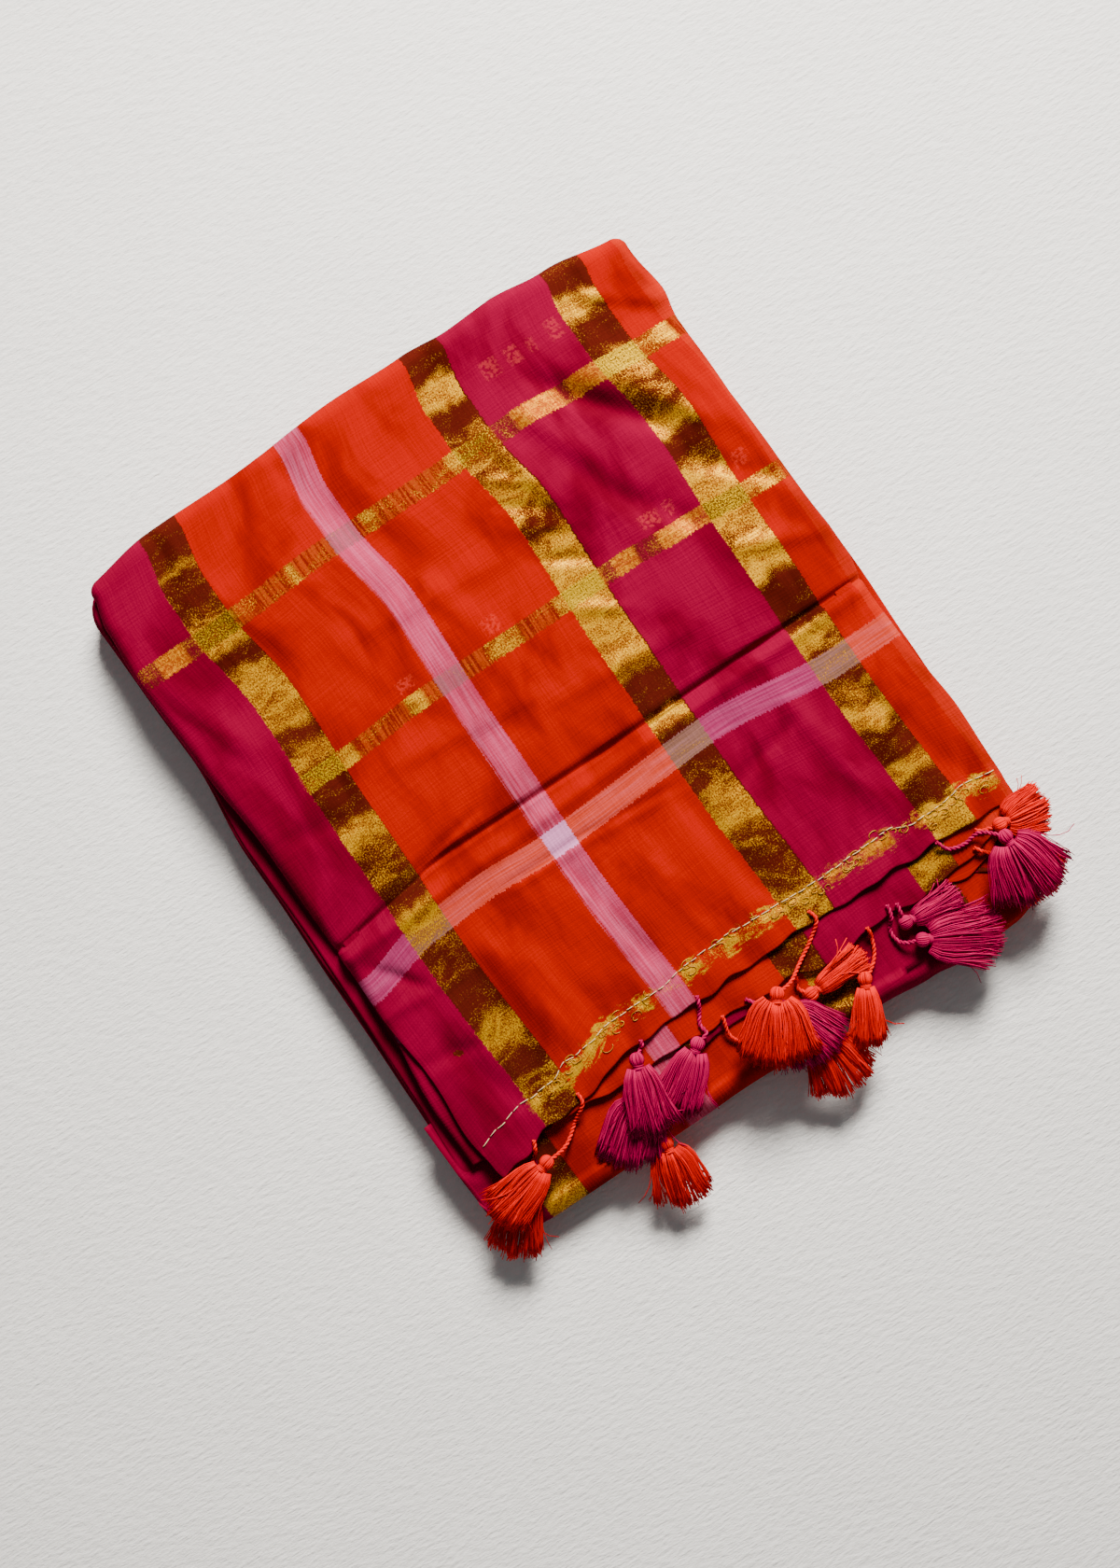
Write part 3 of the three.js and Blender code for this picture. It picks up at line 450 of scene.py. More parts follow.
# ---------------------------------------------------------------- the bundle of hidden passes
PASSES = 13  # folded passes that show at the sides, below the pallu
PASS_HEIGHT = SHELF_TOP / PASSES
PALLU_PASSES = 4  # those above them, under the pallu's top ply
PALLU_PASS_HEIGHT = 1.5
RUN_IN = 9  # how far a folded edge's two plies run in
PASS_SHIFT = 37  # from pass to pass, how far along the cloth its folded edge lies
BELOW_CHARTS, ABOVE_CHARTS = -300, 400  # shifts along the cloth to where it has no gold
# The outline is walked round a rectangle a little larger than the bundle.
OUTLINE_X, OUTLINE_Y = (-152, 160), (-196, 184)
# The hidden mass: how far out from the outline and how high each ring of its wall lies, and how far its
# lid's rings are drawn in to its middle.
CORE_WALL = [(-9, 0.3), (-4.5, 0.5), (-4.0, 4), (-3.6, SHELF_TOP - 5), (-6, SHELF_TOP - 0.6)]
CORE_LID = (0.93, 0.82, 0.6, 0.3)
CORE_MIDDLE = (5, 0)
CORE_BELOW = 1.2  # how far the lid lies below the shelf


def run_along(path):
    """The length of a path up to each of its points."""
    return np.concatenate([[0], np.cumsum(np.linalg.norm(np.diff(path, axis=0), axis=1))])


def even_steps(path, count, closed=False):
    """The same path, with its points evenly spaced."""
    if closed:
        path = np.concatenate([path, path[:1]])
    run = run_along(path)
    wanted = np.linspace(0, run[-1], count, endpoint=not closed)
    return np.stack([np.interp(wanted, run, path[:, k]) for k in range(path.shape[1])], axis=-1)


def outline(count):
    """The bundle's outline, anticlockwise from the front left corner, with round corners: points, normals."""
    share = np.linspace(0, 4, 4 * count, endpoint=False)
    side, t = share.astype(int), share % 1
    (x_low, x_high), (y_low, y_high) = OUTLINE_X, OUTLINE_Y
    sides = [side == 0, side == 1, side == 2]
    x = np.select(sides, [lerp(x_low, x_high, t), x_high, lerp(x_high, x_low, t)], x_low)
    y = np.select(sides, [y_low, lerp(y_low, y_high, t), y_high], lerp(y_high, y_low, t))
    low_x, high_x = LEFT - along(BUNDLE_LEFT_EDGE, y), RIGHT + along(BUNDLE_RIGHT_EDGE, y)
    low_y, high_y = front_line(x), BACK + along(BACK_EDGE, x) - 1.5
    x = np.select([side == 1, side == 3], [high_x, low_x], np.clip(x, low_x, high_x))
    y = np.select([side == 0, side == 2], [low_y, high_y], np.clip(y, low_y, high_y))
    near_x = np.clip(x, low_x + CORNER_RADIUS, high_x - CORNER_RADIUS)
    near_y = np.clip(y, low_y + CORNER_RADIUS, high_y - CORNER_RADIUS)
    away = np.hypot(x - near_x, y - near_y)
    pull = np.minimum(1, CORNER_RADIUS / np.maximum(away, 1e-6))
    round_path = np.stack([near_x + (x - near_x) * pull, near_y + (y - near_y) * pull], axis=-1)
    points = even_steps(round_path, count, closed=True)
    ahead = np.roll(points, -2, axis=0) - np.roll(points, 2, axis=0)
    normals = np.stack([ahead[:, 1], -ahead[:, 0]], axis=-1)
    return points, normals / np.linalg.norm(normals, axis=1)[:, None]


def lay_core(material):
    """What lies out of sight inside the folds: a closed, rounded mass."""
    ring, normals = outline(160)
    rings = []
    for grow, z in CORE_WALL:
        plan = ring + normals * grow
        rings.append(np.column_stack([plan, np.minimum(z, shelf_height(plan[:, 0], plan[:, 1]) - 1.8)]))
    rim = rings[-1][:, :2]
    for shrink in CORE_LID:
        inner = (rim - CORE_MIDDLE) * shrink + CORE_MIDDLE
        x, y = inner.T
        lid = np.minimum(top_height(x, y) - SHELF_DOWN - CORE_BELOW, SHELF_TOP + 5)
        lid = np.where(y < TUCKED_BACK - 6, shelf_height(x, y) - 1.6, lid)
        rings.append(np.column_stack([inner, lid]))
    middles = [[*CORE_MIDDLE, TOP_HEIGHT - SHELF_DOWN - CORE_BELOW], [*CORE_MIDDLE, CORE_WALL[0][1]]]
    points = np.concatenate([*rings, middles])
    count = len(ring)
    start, beside = np.arange(count), (np.arange(count) + 1) % count
    last = (len(rings) - 1) * count
    lid = np.stack([last + start, last + beside, np.full(count, len(points) - 2)], axis=-1)
    underside = np.stack([beside, start, np.full(count, len(points) - 1)], axis=-1)
    faces = [grid_faces(len(rings), count, ring=True), lid, underside]
    piece = make_piece("hidden_folds", points, faces, points[:, :2] + (20, ABOVE_CHARTS + 100))
    on_sari(piece, material, "bundle_cotton", "folded_bundle")


def bight(ring, normals, offset, middle, height):
    """One folded edge round the outline: a rounded lip with its two plies running in under the next ones."""
    turns = np.radians([90, 65, 40, 20, 0, -20, -40, -65, -90])
    lip = 0.9 * height
    outs = np.concatenate([[-RUN_IN], lip * (np.cos(turns) - 1), [-RUN_IN]])
    rises = np.concatenate([[0.46], 0.48 * np.sin(turns), [-0.46]])
    rows = []
    for out, rise in zip(outs, rises):
        rows.append(np.column_stack([ring + normals * (offset + out)[:, None], middle + rise * height]))
    steps = np.hypot(np.diff(outs, prepend=outs[0]), np.diff(rises, prepend=rises[0]))
    return np.array(rows), np.cumsum(steps)


def lay_folded_edges(material):
    """The folded edges of the passes, stacked all round, and those of the pallu's own plies above them."""
    count = 420
    ring, normals = outline(count)
    x, y = ring[:, 0], ring[:, 1]
    random = np.random.default_rng(7)
    points, weave, faces = [], [], []
    first = 0
    at_front = np.clip(-normals[:, 1], 0, 1)
    heights = PASS_HEIGHT * (1 + 0.22 * np.sin(np.arange(PASSES) * 2.4))
    tops = np.cumsum(heights) * SHELF_TOP / heights.sum()
    for layer in range(PASSES + PALLU_PASSES):
        if layer < PASSES:
            base, layer_height = tops[layer] - heights[layer] / 2, heights[layer]
            share = base / SHELF_TOP
            bulge = -2.2 * (2 * share - 1) ** 4 - 5.5 * at_front * (2 * share - 1) ** 2 - 2.2 * at_front
        else:
            step = layer - PASSES
            base, layer_height = SHELF_TOP + 0.9 + 1.55 * step, PALLU_PASS_HEIGHT
            inset = np.clip(LEFT - along(TOP_LEFT_EDGE, y) + 2.5 - x, 0, 30)
            bulge = -np.maximum(2.0 + 0.7 * step, inset + 0.8 * step)
            bulge = bulge - 3.4 * smooth(0.3, 1, normals[:, 0]) - 60 * at_front
        phase = random.uniform(0, 2 * pi, 4)
        wander = (0.65 * np.sin(x / 37 + phase[0]) + 0.55 * np.cos(y / 43 + phase[1])
                  + 0.3 * np.sin((x + y) / 13 + phase[2]) + random.uniform(-0.7, 0.4))
        sag = 0.16 * np.sin(x / 23 + phase[3]) + 0.16 * np.sin(y / 29 + phase[0])
        slope = -(2.5 * (1 - smooth(-180, -120, y)) + 1.3 * corner_drop(x, y)) * base / SHELF_TOP
        rows, arc = bight(ring, normals, bulge + wander, base + sag + slope, layer_height * 1.04)
        rows[..., 2] = np.maximum(rows[..., 2], 0.05)
        points.append(rows.reshape(-1, 3))
        shift = 9 * np.sin(layer * 1.9)
        along_place = rows[..., 1] + PASS_SHIFT * layer + arc[:, None] + ABOVE_CHARTS
        place = np.stack([rows[..., 0] + shift, along_place], axis=-1)
        weave.append(place.reshape(-1, 2))
        faces.append(grid_faces(rows.shape[0], count, ring=True, first=first)[:, ::-1])
        first += rows.shape[0] * count
    lay_sheet("folded_edges", "folded_bundle", "bundle_cotton", material, np.concatenate(points),
              np.concatenate(weave), faces, wall=0)


WRAP_ROWS = (22, 25, 10)  # over the shelf, round the fold, and in under the bundle
WRAP_BULGE = 9.5  # how far the fold reaches out in front of the flat plies
WRAP_LOW = 0.25  # its underside above the floor
WRAP_WIDTH = 314
WRAP_CORNER = 17  # how far in from each end the fold starts to round off


def lay_wrap(material):
    """The outermost ply: over the shelf, round the front fold and in under the bundle."""
    columns = 190
    across = np.linspace(0, 1, columns)
    on_shelf, on_fold, _ = WRAP_ROWS
    turns = np.radians(np.linspace(90, -90, on_fold))
    rows, weave = [], []
    nearest = np.minimum(across, 1 - across) * WRAP_WIDTH
    corner = np.sqrt(np.clip(1 - (1 - np.clip(nearest / WRAP_CORNER, 0, 1)) ** 2, 0, 1))
    x = lerp(LEFT - 14.2, RIGHT + 0.3, across)
    front = front_line(x) + 15.5 * (1 - corner) + 0.2
    lip = shelf_height(x, front + 12) - 0.1
    for step in range(sum(WRAP_ROWS)):
        if step < on_shelf:
            y = lerp(TUCKED_BACK, front + WRAP_BULGE, step / (on_shelf - 1))
            z = np.minimum(shelf_height(x, y) - 0.1, lip + 4)
            arc = y
        elif step < on_shelf + on_fold:
            turn = turns[step - on_shelf]
            ripple = 0.45 * np.sin(turn * 5 + x / 60) * cos(turn)
            y = front + WRAP_BULGE * (1 - cos(turn) ** 0.8) - ripple
            z = lip / 2 + WRAP_LOW + (lip / 2 - WRAP_LOW) * sin(turn)
            arc = front + WRAP_BULGE - 11 * (pi / 2 - turn)
        else:
            inward = (step - on_shelf - on_fold + 1) * 5
            y = front + WRAP_BULGE + inward
            z = np.full(columns, WRAP_LOW)
            arc = front - 26 - inward
        ripple = 0.35 * np.sin(x / 14 + 2 * np.sin(x / 47)) * smooth(-140, -156, y)
        rows.append(np.stack([x, y, np.maximum(z + ripple, 0.2)], axis=-1))
        cloth_v = np.minimum(arc + 84, PALE_WEFT[0] - 2)
        cloth_v = np.where(cloth_v < -110, cloth_v + BELOW_CHARTS, cloth_v)  # past the pallu's own hem
        # its right end shows the orange of the selvedge
        cloth_u = np.where(x < 112, x + lerp(23, 7, smooth(-60, 60, x)), lerp(136, 152, (x - 112) / 48))
        weave.append(np.stack([cloth_u, cloth_v], axis=-1))
    faces = [grid_faces(len(rows), columns)[:, ::-1]]
    lay_sheet("front_wrap", "folded_bundle", "bundle_cotton", material, np.array(rows), np.array(weave),
              faces)


# ---------------------------------------------------------------- tassels
def closed_tubes(rings):
    """Faces of tubes, from their points as tubes by steps by sides."""
    tubes, steps, sides = rings.shape[:3]
    firsts = (np.arange(tubes) * steps * sides)[:, None, None]
    walls = grid_faces(steps, sides, ring=True)[None] + firsts
    near_ends = np.arange(sides)[::-1][None, None] + firsts
    far_ends = np.arange((steps - 1) * sides, steps * sides)[None, None] + firsts
    return [walls.reshape(-1, 4), near_ends.reshape(-1, sides), far_ends.reshape(-1, sides)]


def axes_along(paths, level=(0, 0, 1)):
    """At each step of paths, ahead, aside and up; level is an axis that they circle."""
    ahead = np.gradient(paths, axis=-2)
    ahead /= np.linalg.norm(ahead, axis=-1, keepdims=True)
    aside = np.cross(level, ahead)
    aside /= np.maximum(np.linalg.norm(aside, axis=-1, keepdims=True), 1e-6)
    return ahead, aside, np.cross(ahead, aside)


def placed(origin, axes, *steps):
    """Points some way along each of three axes from an origin."""
    for axis, step in zip(axes, steps):
        origin = origin + axis * step[..., None]
    return origin


def tubes_along(paths, radius, sides, turn=0.0, level=(0, 0, 1)):
    """Points of tubes along paths, given as tubes by steps by three."""
    _, aside, up = axes_along(paths, level)
    angles = (np.arange(sides) * 2 * pi / sides + np.reshape(turn, (-1, 1)))[:, None, :, None]
    spokes = aside[:, :, None] * np.cos(angles) + up[:, :, None] * np.sin(angles)
    return paths[:, :, None] + spokes * np.broadcast_to(radius, paths.shape[:2])[:, :, None, None]


class Bundle:
    """Gathers tubes into one mesh, each with the tone of its own thread."""

    def __init__(self):
        self.points, self.faces, self.shades = [], [], []
        self.count = 0

    def take(self, rings, shade):
        points = rings.reshape(-1, 3)
        self.points.append(points)
        self.faces.extend(block + self.count for block in closed_tubes(rings))
        self.shades.append(np.repeat(np.broadcast_to(shade, len(rings)), rings.shape[1] * rings.shape[2]))
        self.count += len(points)

    def piece(self, name):
        return make_piece(name, np.concatenate(self.points), self.faces, shade=np.concatenate(self.shades))


def head_place(tassel):
    back = radians(tassel.az + 180)
    to_head = NECK_LENGTH + 0.8 * HEAD_RADIUS
    x, y = tassel.x + cos(back) * to_head, tassel.y + sin(back) * to_head
    return x, y, float(resting_near(x, y, HEAD_RADIUS)) + HEAD_RADIUS + CLEAR + tassel.lift


def tassel_axes(tassel):
    turn = radians(tassel.az)
    return np.array([cos(turn), sin(turn), 0]), np.array([-sin(turn), cos(turn), 0]), np.array([0, 0, 1.0])


def add_skirt(bundle, tassel, random, threads):
    """The skirt's cut threads, fanned out from the neck."""
    neck = np.array([tassel.x, tassel.y, head_place(tassel)[2]])
    steps = np.linspace(0, 1, 7)[None]
    fan, layer = random.uniform(-1, 1, (2, threads, 1))
    phase = random.uniform(0, 2 * pi, 2)
    locks = 0.13 * np.sin(7 * fan + phase[0]) + 0.06 * np.sin(19 * fan + phase[1])
    length = tassel.length * (1.1 + 0.05 * random.standard_normal((threads, 1)) - 0.1 * np.abs(fan))
    curl = random.normal(0, 0.10, (threads, 1))
    stride = length / (steps.shape[1] - 1)
    spread = radians(tassel.spread) * lerp(min(3.2, 70 / tassel.spread), 0.45, smooth(0, 0.55, steps))
    stray = (random.uniform(0, 1, (threads, 1)) < 0.03) * random.normal(0, 0.7, (threads, 1))
    angle = fan * spread + (curl + stray) * steps**2 + locks * steps
    onward = np.cumsum(np.cos(angle) * stride, axis=1) - stride - 0.8
    sideways = np.cumsum(np.sin(angle) * stride, axis=1) + fan * NECK_RADIUS * 0.85
    sideways = sideways + 0.3 * np.sin(steps * random.uniform(4, 9, (threads, 1)) + 6 * layer) * steps
    belly = NECK_RADIUS * np.sqrt(np.maximum(0.05, 1 - fan**2)) + 0.9 * np.sin(pi * steps) * (1 - np.abs(fan))
    rise = layer * belly * lerp(1, 0.75, steps) - tassel.drop * steps**1.7
    paths = placed(neck, tassel_axes(tassel), onward, sideways, rise)
    floor = resting_near(paths[..., 0], paths[..., 1], 1.5) + 0.35 + 0.8 * (layer + 1)
    paths[:, 1:, 2] = np.maximum(paths[:, 1:, 2], floor[:, 1:])
    paths[..., 2] = np.maximum(paths[..., 2], 0.6)
    radius = random.uniform(0.23, 0.33, (threads, 1)) * lerp(1, 0.85, steps)
    turn = random.uniform(0, 2, threads)
    bundle.take(tubes_along(paths, radius, 3, turn), random.uniform(0, 1, threads))


def add_head(bundle, tassel, random):
    """Threads drawn over the knot to the neck, on a ball, and the binding round the neck."""
    head = np.array(head_place(tassel))
    axes = tassel_axes(tassel)

    def over_knot(polar, around, size):
        radius = size * HEAD_RADIUS * np.sin(polar)
        radius = np.maximum(radius, np.where(polar > pi / 2, NECK_RADIUS * 0.8, 0.05))
        onward = -HEAD_RADIUS * 1.1 * size * np.cos(polar)
        return placed(head, axes, onward, radius * np.cos(around), radius * np.sin(around))

    polar = np.linspace(0.06, pi * 0.84, 9)
    bundle.take(over_knot(polar[:, None], np.linspace(0, 2 * pi, 16, endpoint=False)[None], 0.92)[None], 0.1)
    starts = (np.arange(HEAD_THREADS) + random.uniform(-0.25, 0.25, HEAD_THREADS)) * 2 * pi / HEAD_THREADS
    threads = over_knot(polar[None], starts[:, None] + 0.25 * np.sin(polar)[None], 1.0)
    shades = random.uniform(0.2, 0.9, HEAD_THREADS)
    bundle.take(tubes_along(threads, 0.44 * np.sin(polar)[None] + 0.08, 4), shades)
    wind = np.arange(NECK_WINDS)[:, None]
    turn = np.linspace(0, 2 * pi, 19)[None]
    reach = NECK_RADIUS + 0.12 + 0.08 * random.standard_normal((NECK_WINDS, 1))
    back = -(0.3 + 0.55 * wind + 0.3 * np.sin(turn + wind))
    neck = np.array([tassel.x, tassel.y, head[2]])
    winds = placed(neck, axes, back, reach * np.cos(turn), reach * np.sin(turn))
    bundle.take(tubes_along(winds, 0.34, 5, level=axes[0]), 0.35 + 0.3 * (wind[:, 0] % 2))


def smooth_path(places, count):
    """A rounded path through a few places: Catmull-Rom, evenly stepped."""
    knots = np.array([2 * np.array(places[0]) - places[1], *places, 2 * np.array(places[-1]) - places[-2]])
    t = np.linspace(0, 1, 20, endpoint=False)[:, None]
    fine = []
    for before, start, end, after in zip(knots, knots[1:], knots[2:], knots[3:]):
        bend = 2 * before - 5 * start + 4 * end - after
        twist = 3 * start - before - 3 * end + after
        fine.append(0.5 * (2 * start + (end - before) * t + bend * t**2 + twist * t**3))
    return even_steps(np.concatenate([*fine, knots[-2:-1]]), count)


def add_cord(bundle, tassel):
    """Two strands twisted together, lying on the cloth from the hem to the head."""
    x, y, z = head_place(tassel)
    steps = 90
    plan = smooth_path([*tassel.cord, (x, y)], steps)
    share = np.linspace(0, 1, steps)
    lying = resting_near(plan[:, 0], plan[:, 1], 2.2) + 1.15
    lying = np.convolve(np.pad(lying, 6, mode="edge"), np.ones(13) / 13, mode="valid")
    height = np.maximum(lying, lerp(lying, z, smooth(0.45, 0.95, share)))
    height = lerp(height, z, smooth(0.85, 1, share))
    path = np.column_stack([plan, height])
    _, aside, up = axes_along(path)
    for strand in (0, pi):
        twist = run_along(path) * 2 * pi / CORD_TWIST + strand
        centre = path + STRAND_OUT * (aside * np.cos(twist)[:, None] + up * np.sin(twist)[:, None])
        bundle.take(tubes_along(centre[None], STRAND_RADIUS, 6), 0.3 + 0.4 * (strand > 0))


def tie_tassel(index, tassel, material, threads):
    random = np.random.default_rng(100 + index)
    bundle = Bundle()
    add_skirt(bundle, tassel, random, threads)
    add_head(bundle, tassel, random)
    add_cord(bundle, tassel)
    piece = bundle.piece(f"tassel_{tassel.name}_threads")
    on_sari(piece, material, f"tassel_{tassel.color}", f"tassel_{tassel.name}")


# ---------------------------------------------------------------- sewing
SEWN_FROM, SEWN_TO = -133.5, 151
GOLD_LOOPS = 70
SEWING_RADIUS = 0.2


def sew_hem(stitch_material, zari_material):
    """The running stitch of the turned hem, and loose loops of gold thread caught along it."""
    random = np.random.default_rng(31)
    stitches, loops = Bundle(), Bundle()
    x = SEWN_FROM
    while x < SEWN_TO:
        length = random.uniform(3.0, 5.0)
        ends = np.linspace(x, x + length, 6)
        y = stitch_line(ends) + random.normal(0, 0.25)
        z = cloth_height(ends, y) + 0.12 + 0.3 * np.sin(np.linspace(0, pi, 6))
        z[[0, -1]] -= 0.35
        path = np.column_stack([ends, y, z])[None]
        stitches.take(tubes_along(path, SEWING_RADIUS, 6), random.uniform(0, 1))
        x += length + random.uniform(0.2, 0.9)
    for _ in range(GOLD_LOOPS):
        x = random.uniform(-103, 150)
        y = float(stitch_line(x)) - 3 + random.normal(0, 2.2)
        turn = np.linspace(0, random.uniform(2.5, 5.5), 9) + random.uniform(0, 6)
        reach = random.uniform(0.8, 2.0)
        loop_x, loop_y = x + 1.5 * reach * np.cos(turn), y + reach * np.sin(turn)
        loop_z = cloth_height(loop_x, loop_y) + 0.15 + 0.35 * np.sin(np.linspace(0, pi, 9))
        path = np.column_stack([loop_x, loop_y, loop_z])[None]
        loops.take(tubes_along(path, SEWING_RADIUS, 4), random.uniform(0, 1))
    on_sari(stitches.piece("hem_running_stitch"), stitch_material, "pallu_cotton")
    on_sari(loops.piece("hem_gold_thread_loops"), zari_material, "pallu_cotton")


# ---------------------------------------------------------------- materials
def srgb(code):
    return tuple(int(code[k:k + 2], 16) / 255 for k in (1, 3, 5))


def linear(code):
    """An sRGB hex colour as linear RGBA."""
    return tuple([c / 12.92 if c <= 0.04045 else ((c + 0.055) / 1.055) ** 2.4 for c in srgb(code)] + [1])


PRESETS = {"Mix": {"data_type": "RGBA"}, "MapRange": {"interpolation_type": "SMOOTHSTEP"}}


def add_node(tree, kind, *values, named=None, output=None, **settings):
    """Adds a node with its settings, and a value or a link for its inputs, in turn or by name; gives back one
    output. A kind in capitals is an operation of the Math node."""
    if kind.isupper():
        kind, settings["operation"] = "Math", kind
    node = tree.nodes.new("ShaderNode" + kind)
    for key, value in {**PRESETS.get(kind, {}), **settings}.items():
        setattr(node, key, value)
    in_turn = zip([socket for socket in node.inputs if socket.enabled], values)
    by_name = [(node.inputs[key], value) for key, value in (named or {}).items()]
    for socket, value in [*in_turn, *by_name]:
        if isinstance(value, bpy.types.NodeSocket):
            tree.links.new(value, socket)
        else:
            socket.default_value = value
    in_use = [socket for socket in node.outputs if socket.enabled]
    return node.outputs[output] if output else in_use and in_use[0]


def new_material(name):
    """An empty material, and the function that adds nodes to it."""
    material = bpy.data.materials.new(name)
    material.use_nodes = True
    material.node_tree.nodes.clear()
    return material, partial(add_node, material.node_tree)


# Bands across the cloth, from and to, in millimetres.
ZARI_LEFT, PINK_STRIPE, ZARI_MIDDLE, ZARI_RIGHT = (-104.5, -84.5), (-29.5, -15.5), (40.3, 59.8), (116, 136)
# Warp bands: where each begins, its colour, and its colour under the pale weft stripe.
WARP_BANDS = [
    (-160, "magenta", "pale_on_magenta"), (-104.5, "zari_ground", "pale_on_zari"),
    (-84.5, "orange", "pale_on_orange"), (-29.5, "pink", "pale_on_pink"), (-15.5, "orange", "pale_on_orange"),
    (40.3, "zari_ground", "pale_on_zari"), (59.8, "magenta", "pale_on_magenta"),
    (116, "zari_ground", "pale_on_zari"), (136, "orange", "pale_on_orange"),
    (153, "sheer_edge", "pale_on_orange"),
]
# Gold in each zari band: where each stretch begins along the cloth, and how much gold shows on its face:
# partly gold floating in the weave, partly painted reflection where the band would catch the light.
ZARI_BANDS = {
    ZARI_LEFT: [
        (-150, 0.25), (-119, 0.2), (-101, 0.45), (-97, 0.78), (-87, 0.05), (-66, 0.16), (-52, 0.28),
        (-45, 0.45), (-38, 0.82), (-28, 0.04), (-15, 0.3), (6, 0.78), (16, 0.42), (20, 0.06), (50, 0.4),
        (53, 0.68), (58, 0.18), (63, 0.05), (72, 0.72), (82, 0.5), (90, 0.78), (101, 0.3), (104, 0.05),
        (115, 0.62), (131, 0.36), (138, 0.12), (157, 0.7), (160, 0.02)],
    ZARI_MIDDLE: [
        (-150, 0.4), (-121, 0.22), (-100, 0.1), (-95, 0.34), (-86, 0.85), (-70, 0.5), (-62, 0.22),
        (-55, 0.1), (-29, 0.8), (-22, 0.03), (1, 0.68), (20, 0.8), (65, 0.6), (70, 0.4), (72, 0.62),
        (74, 0.3), (76, 0.08), (86, 0.52), (92, 0.74), (104, 0.6), (110, 0.3), (116, 0.55), (121, 0.5),
        (132, 0.25), (136, 0.08), (150, 0.8), (161, 0.02)],
    ZARI_RIGHT: [
        (-150, 0.5), (-124, 0.04), (-112, 0.3), (-108, 0.66), (-97, 0.03), (-85, 0.16), (-76, 0.74),
        (-62, 0.2), (-58, 0.52), (-52, 0.08), (-45, 0.28), (-29, 0.84), (-18, 0.02), (8, 0.8), (27, 0.48),
        (33, 0.74), (64, 0.3), (70, 0.06), (85, 0.74), (95, 0.3), (103, 0.42), (108, 0.1), (113, 0.55),
        (131, 0.03), (147, 0.2), (151, 0.8), (162, 0.02)],
}
# Where gold wefts cross an orange or a gold warp, the cloth itself shows amber or olive.
AMBER_WEFTS = [(121, 131), (41, 50)]
HEM_WEFT = (-129.5, -123)
# Gold weft bands: where each dash begins across the cloth, and how much gold.
ZARI_WEFTS = {
    AMBER_WEFTS[0]: [
        (-160, 0), (-136, 0.2), (-126, 0.72), (-111, 0.2), (-104.5, 0.5), (-84, 0.14), (-53, 0.66),
        (-49, 0.1), (-29, 0.05), (-12, 0.45), (-5, 0.14), (15, 0.28), (35, 0.66), (41, 0.46), (60, 0.2),
        (71, 0.78), (95, 0.2), (99, 0.7), (114, 0.72), (135, 0.5), (147, 0.78), (153, 0)],
    AMBER_WEFTS[1]: [
        (-160, 0), (-104.5, 0.58), (-84, 0.72), (-77, 0.1), (-46, 0.7), (-37, 0.1), (-29, 0.05), (-15, 0.1),
        (-2, 0.5), (15, 0.1), (35, 0.7), (41, 0.74), (60, 0.2), (66, 0.72), (78, 0.2), (91, 0.76),
        (108, 0.5), (116, 0.58), (136, 0.5), (142, 0.66), (150, 0.3), (156, 0)],
    HEM_WEFT: [
        (-160, 0), (-106, 0.3), (-104.5, 0.56), (-84, 0.66), (-76, 0.4), (-70, 0.78), (-57, 0.5),
        (-50, 0.15), (-40, 0.7), (-33, 0.15), (-15, 0.72), (-4, 0.2), (8, 0.74), (16, 0.3), (29, 0.66),
        (38, 0.5), (60, 0.12), (64, 0.55), (72, 0.25), (80, 0.55), (90, 0.6), (100, 0.15), (112, 0.66),
        (136, 0.55), (154, 0)],
}
# Dashes of gold on the ply below that show through: from and to along the cloth, and across it.
GHOST_DASHES = [(148, 157, 72, 80), (148, 157, 85, 91), (149, 156, 96, 99), (148, 158, 107, 113),
                (52, 60, 2, 10), (53, 60, 88, 97), (53, 60, 101, 105), (52, 58, -46, -37), (56, 64, 139, 146)]
PALE_WEFT = (-45.5, -33)
# the hem's stretch along the cloth, where the gold is painted brighter
HEM_STRETCH = (-140, -116)
U_RANGE, V_RANGE = (-160, 180), (-160, 200)
WEAVE_PITCH = 1.6  # millimetres from yarn to yarn; the real ones, 0.4 apart, are too fine to show


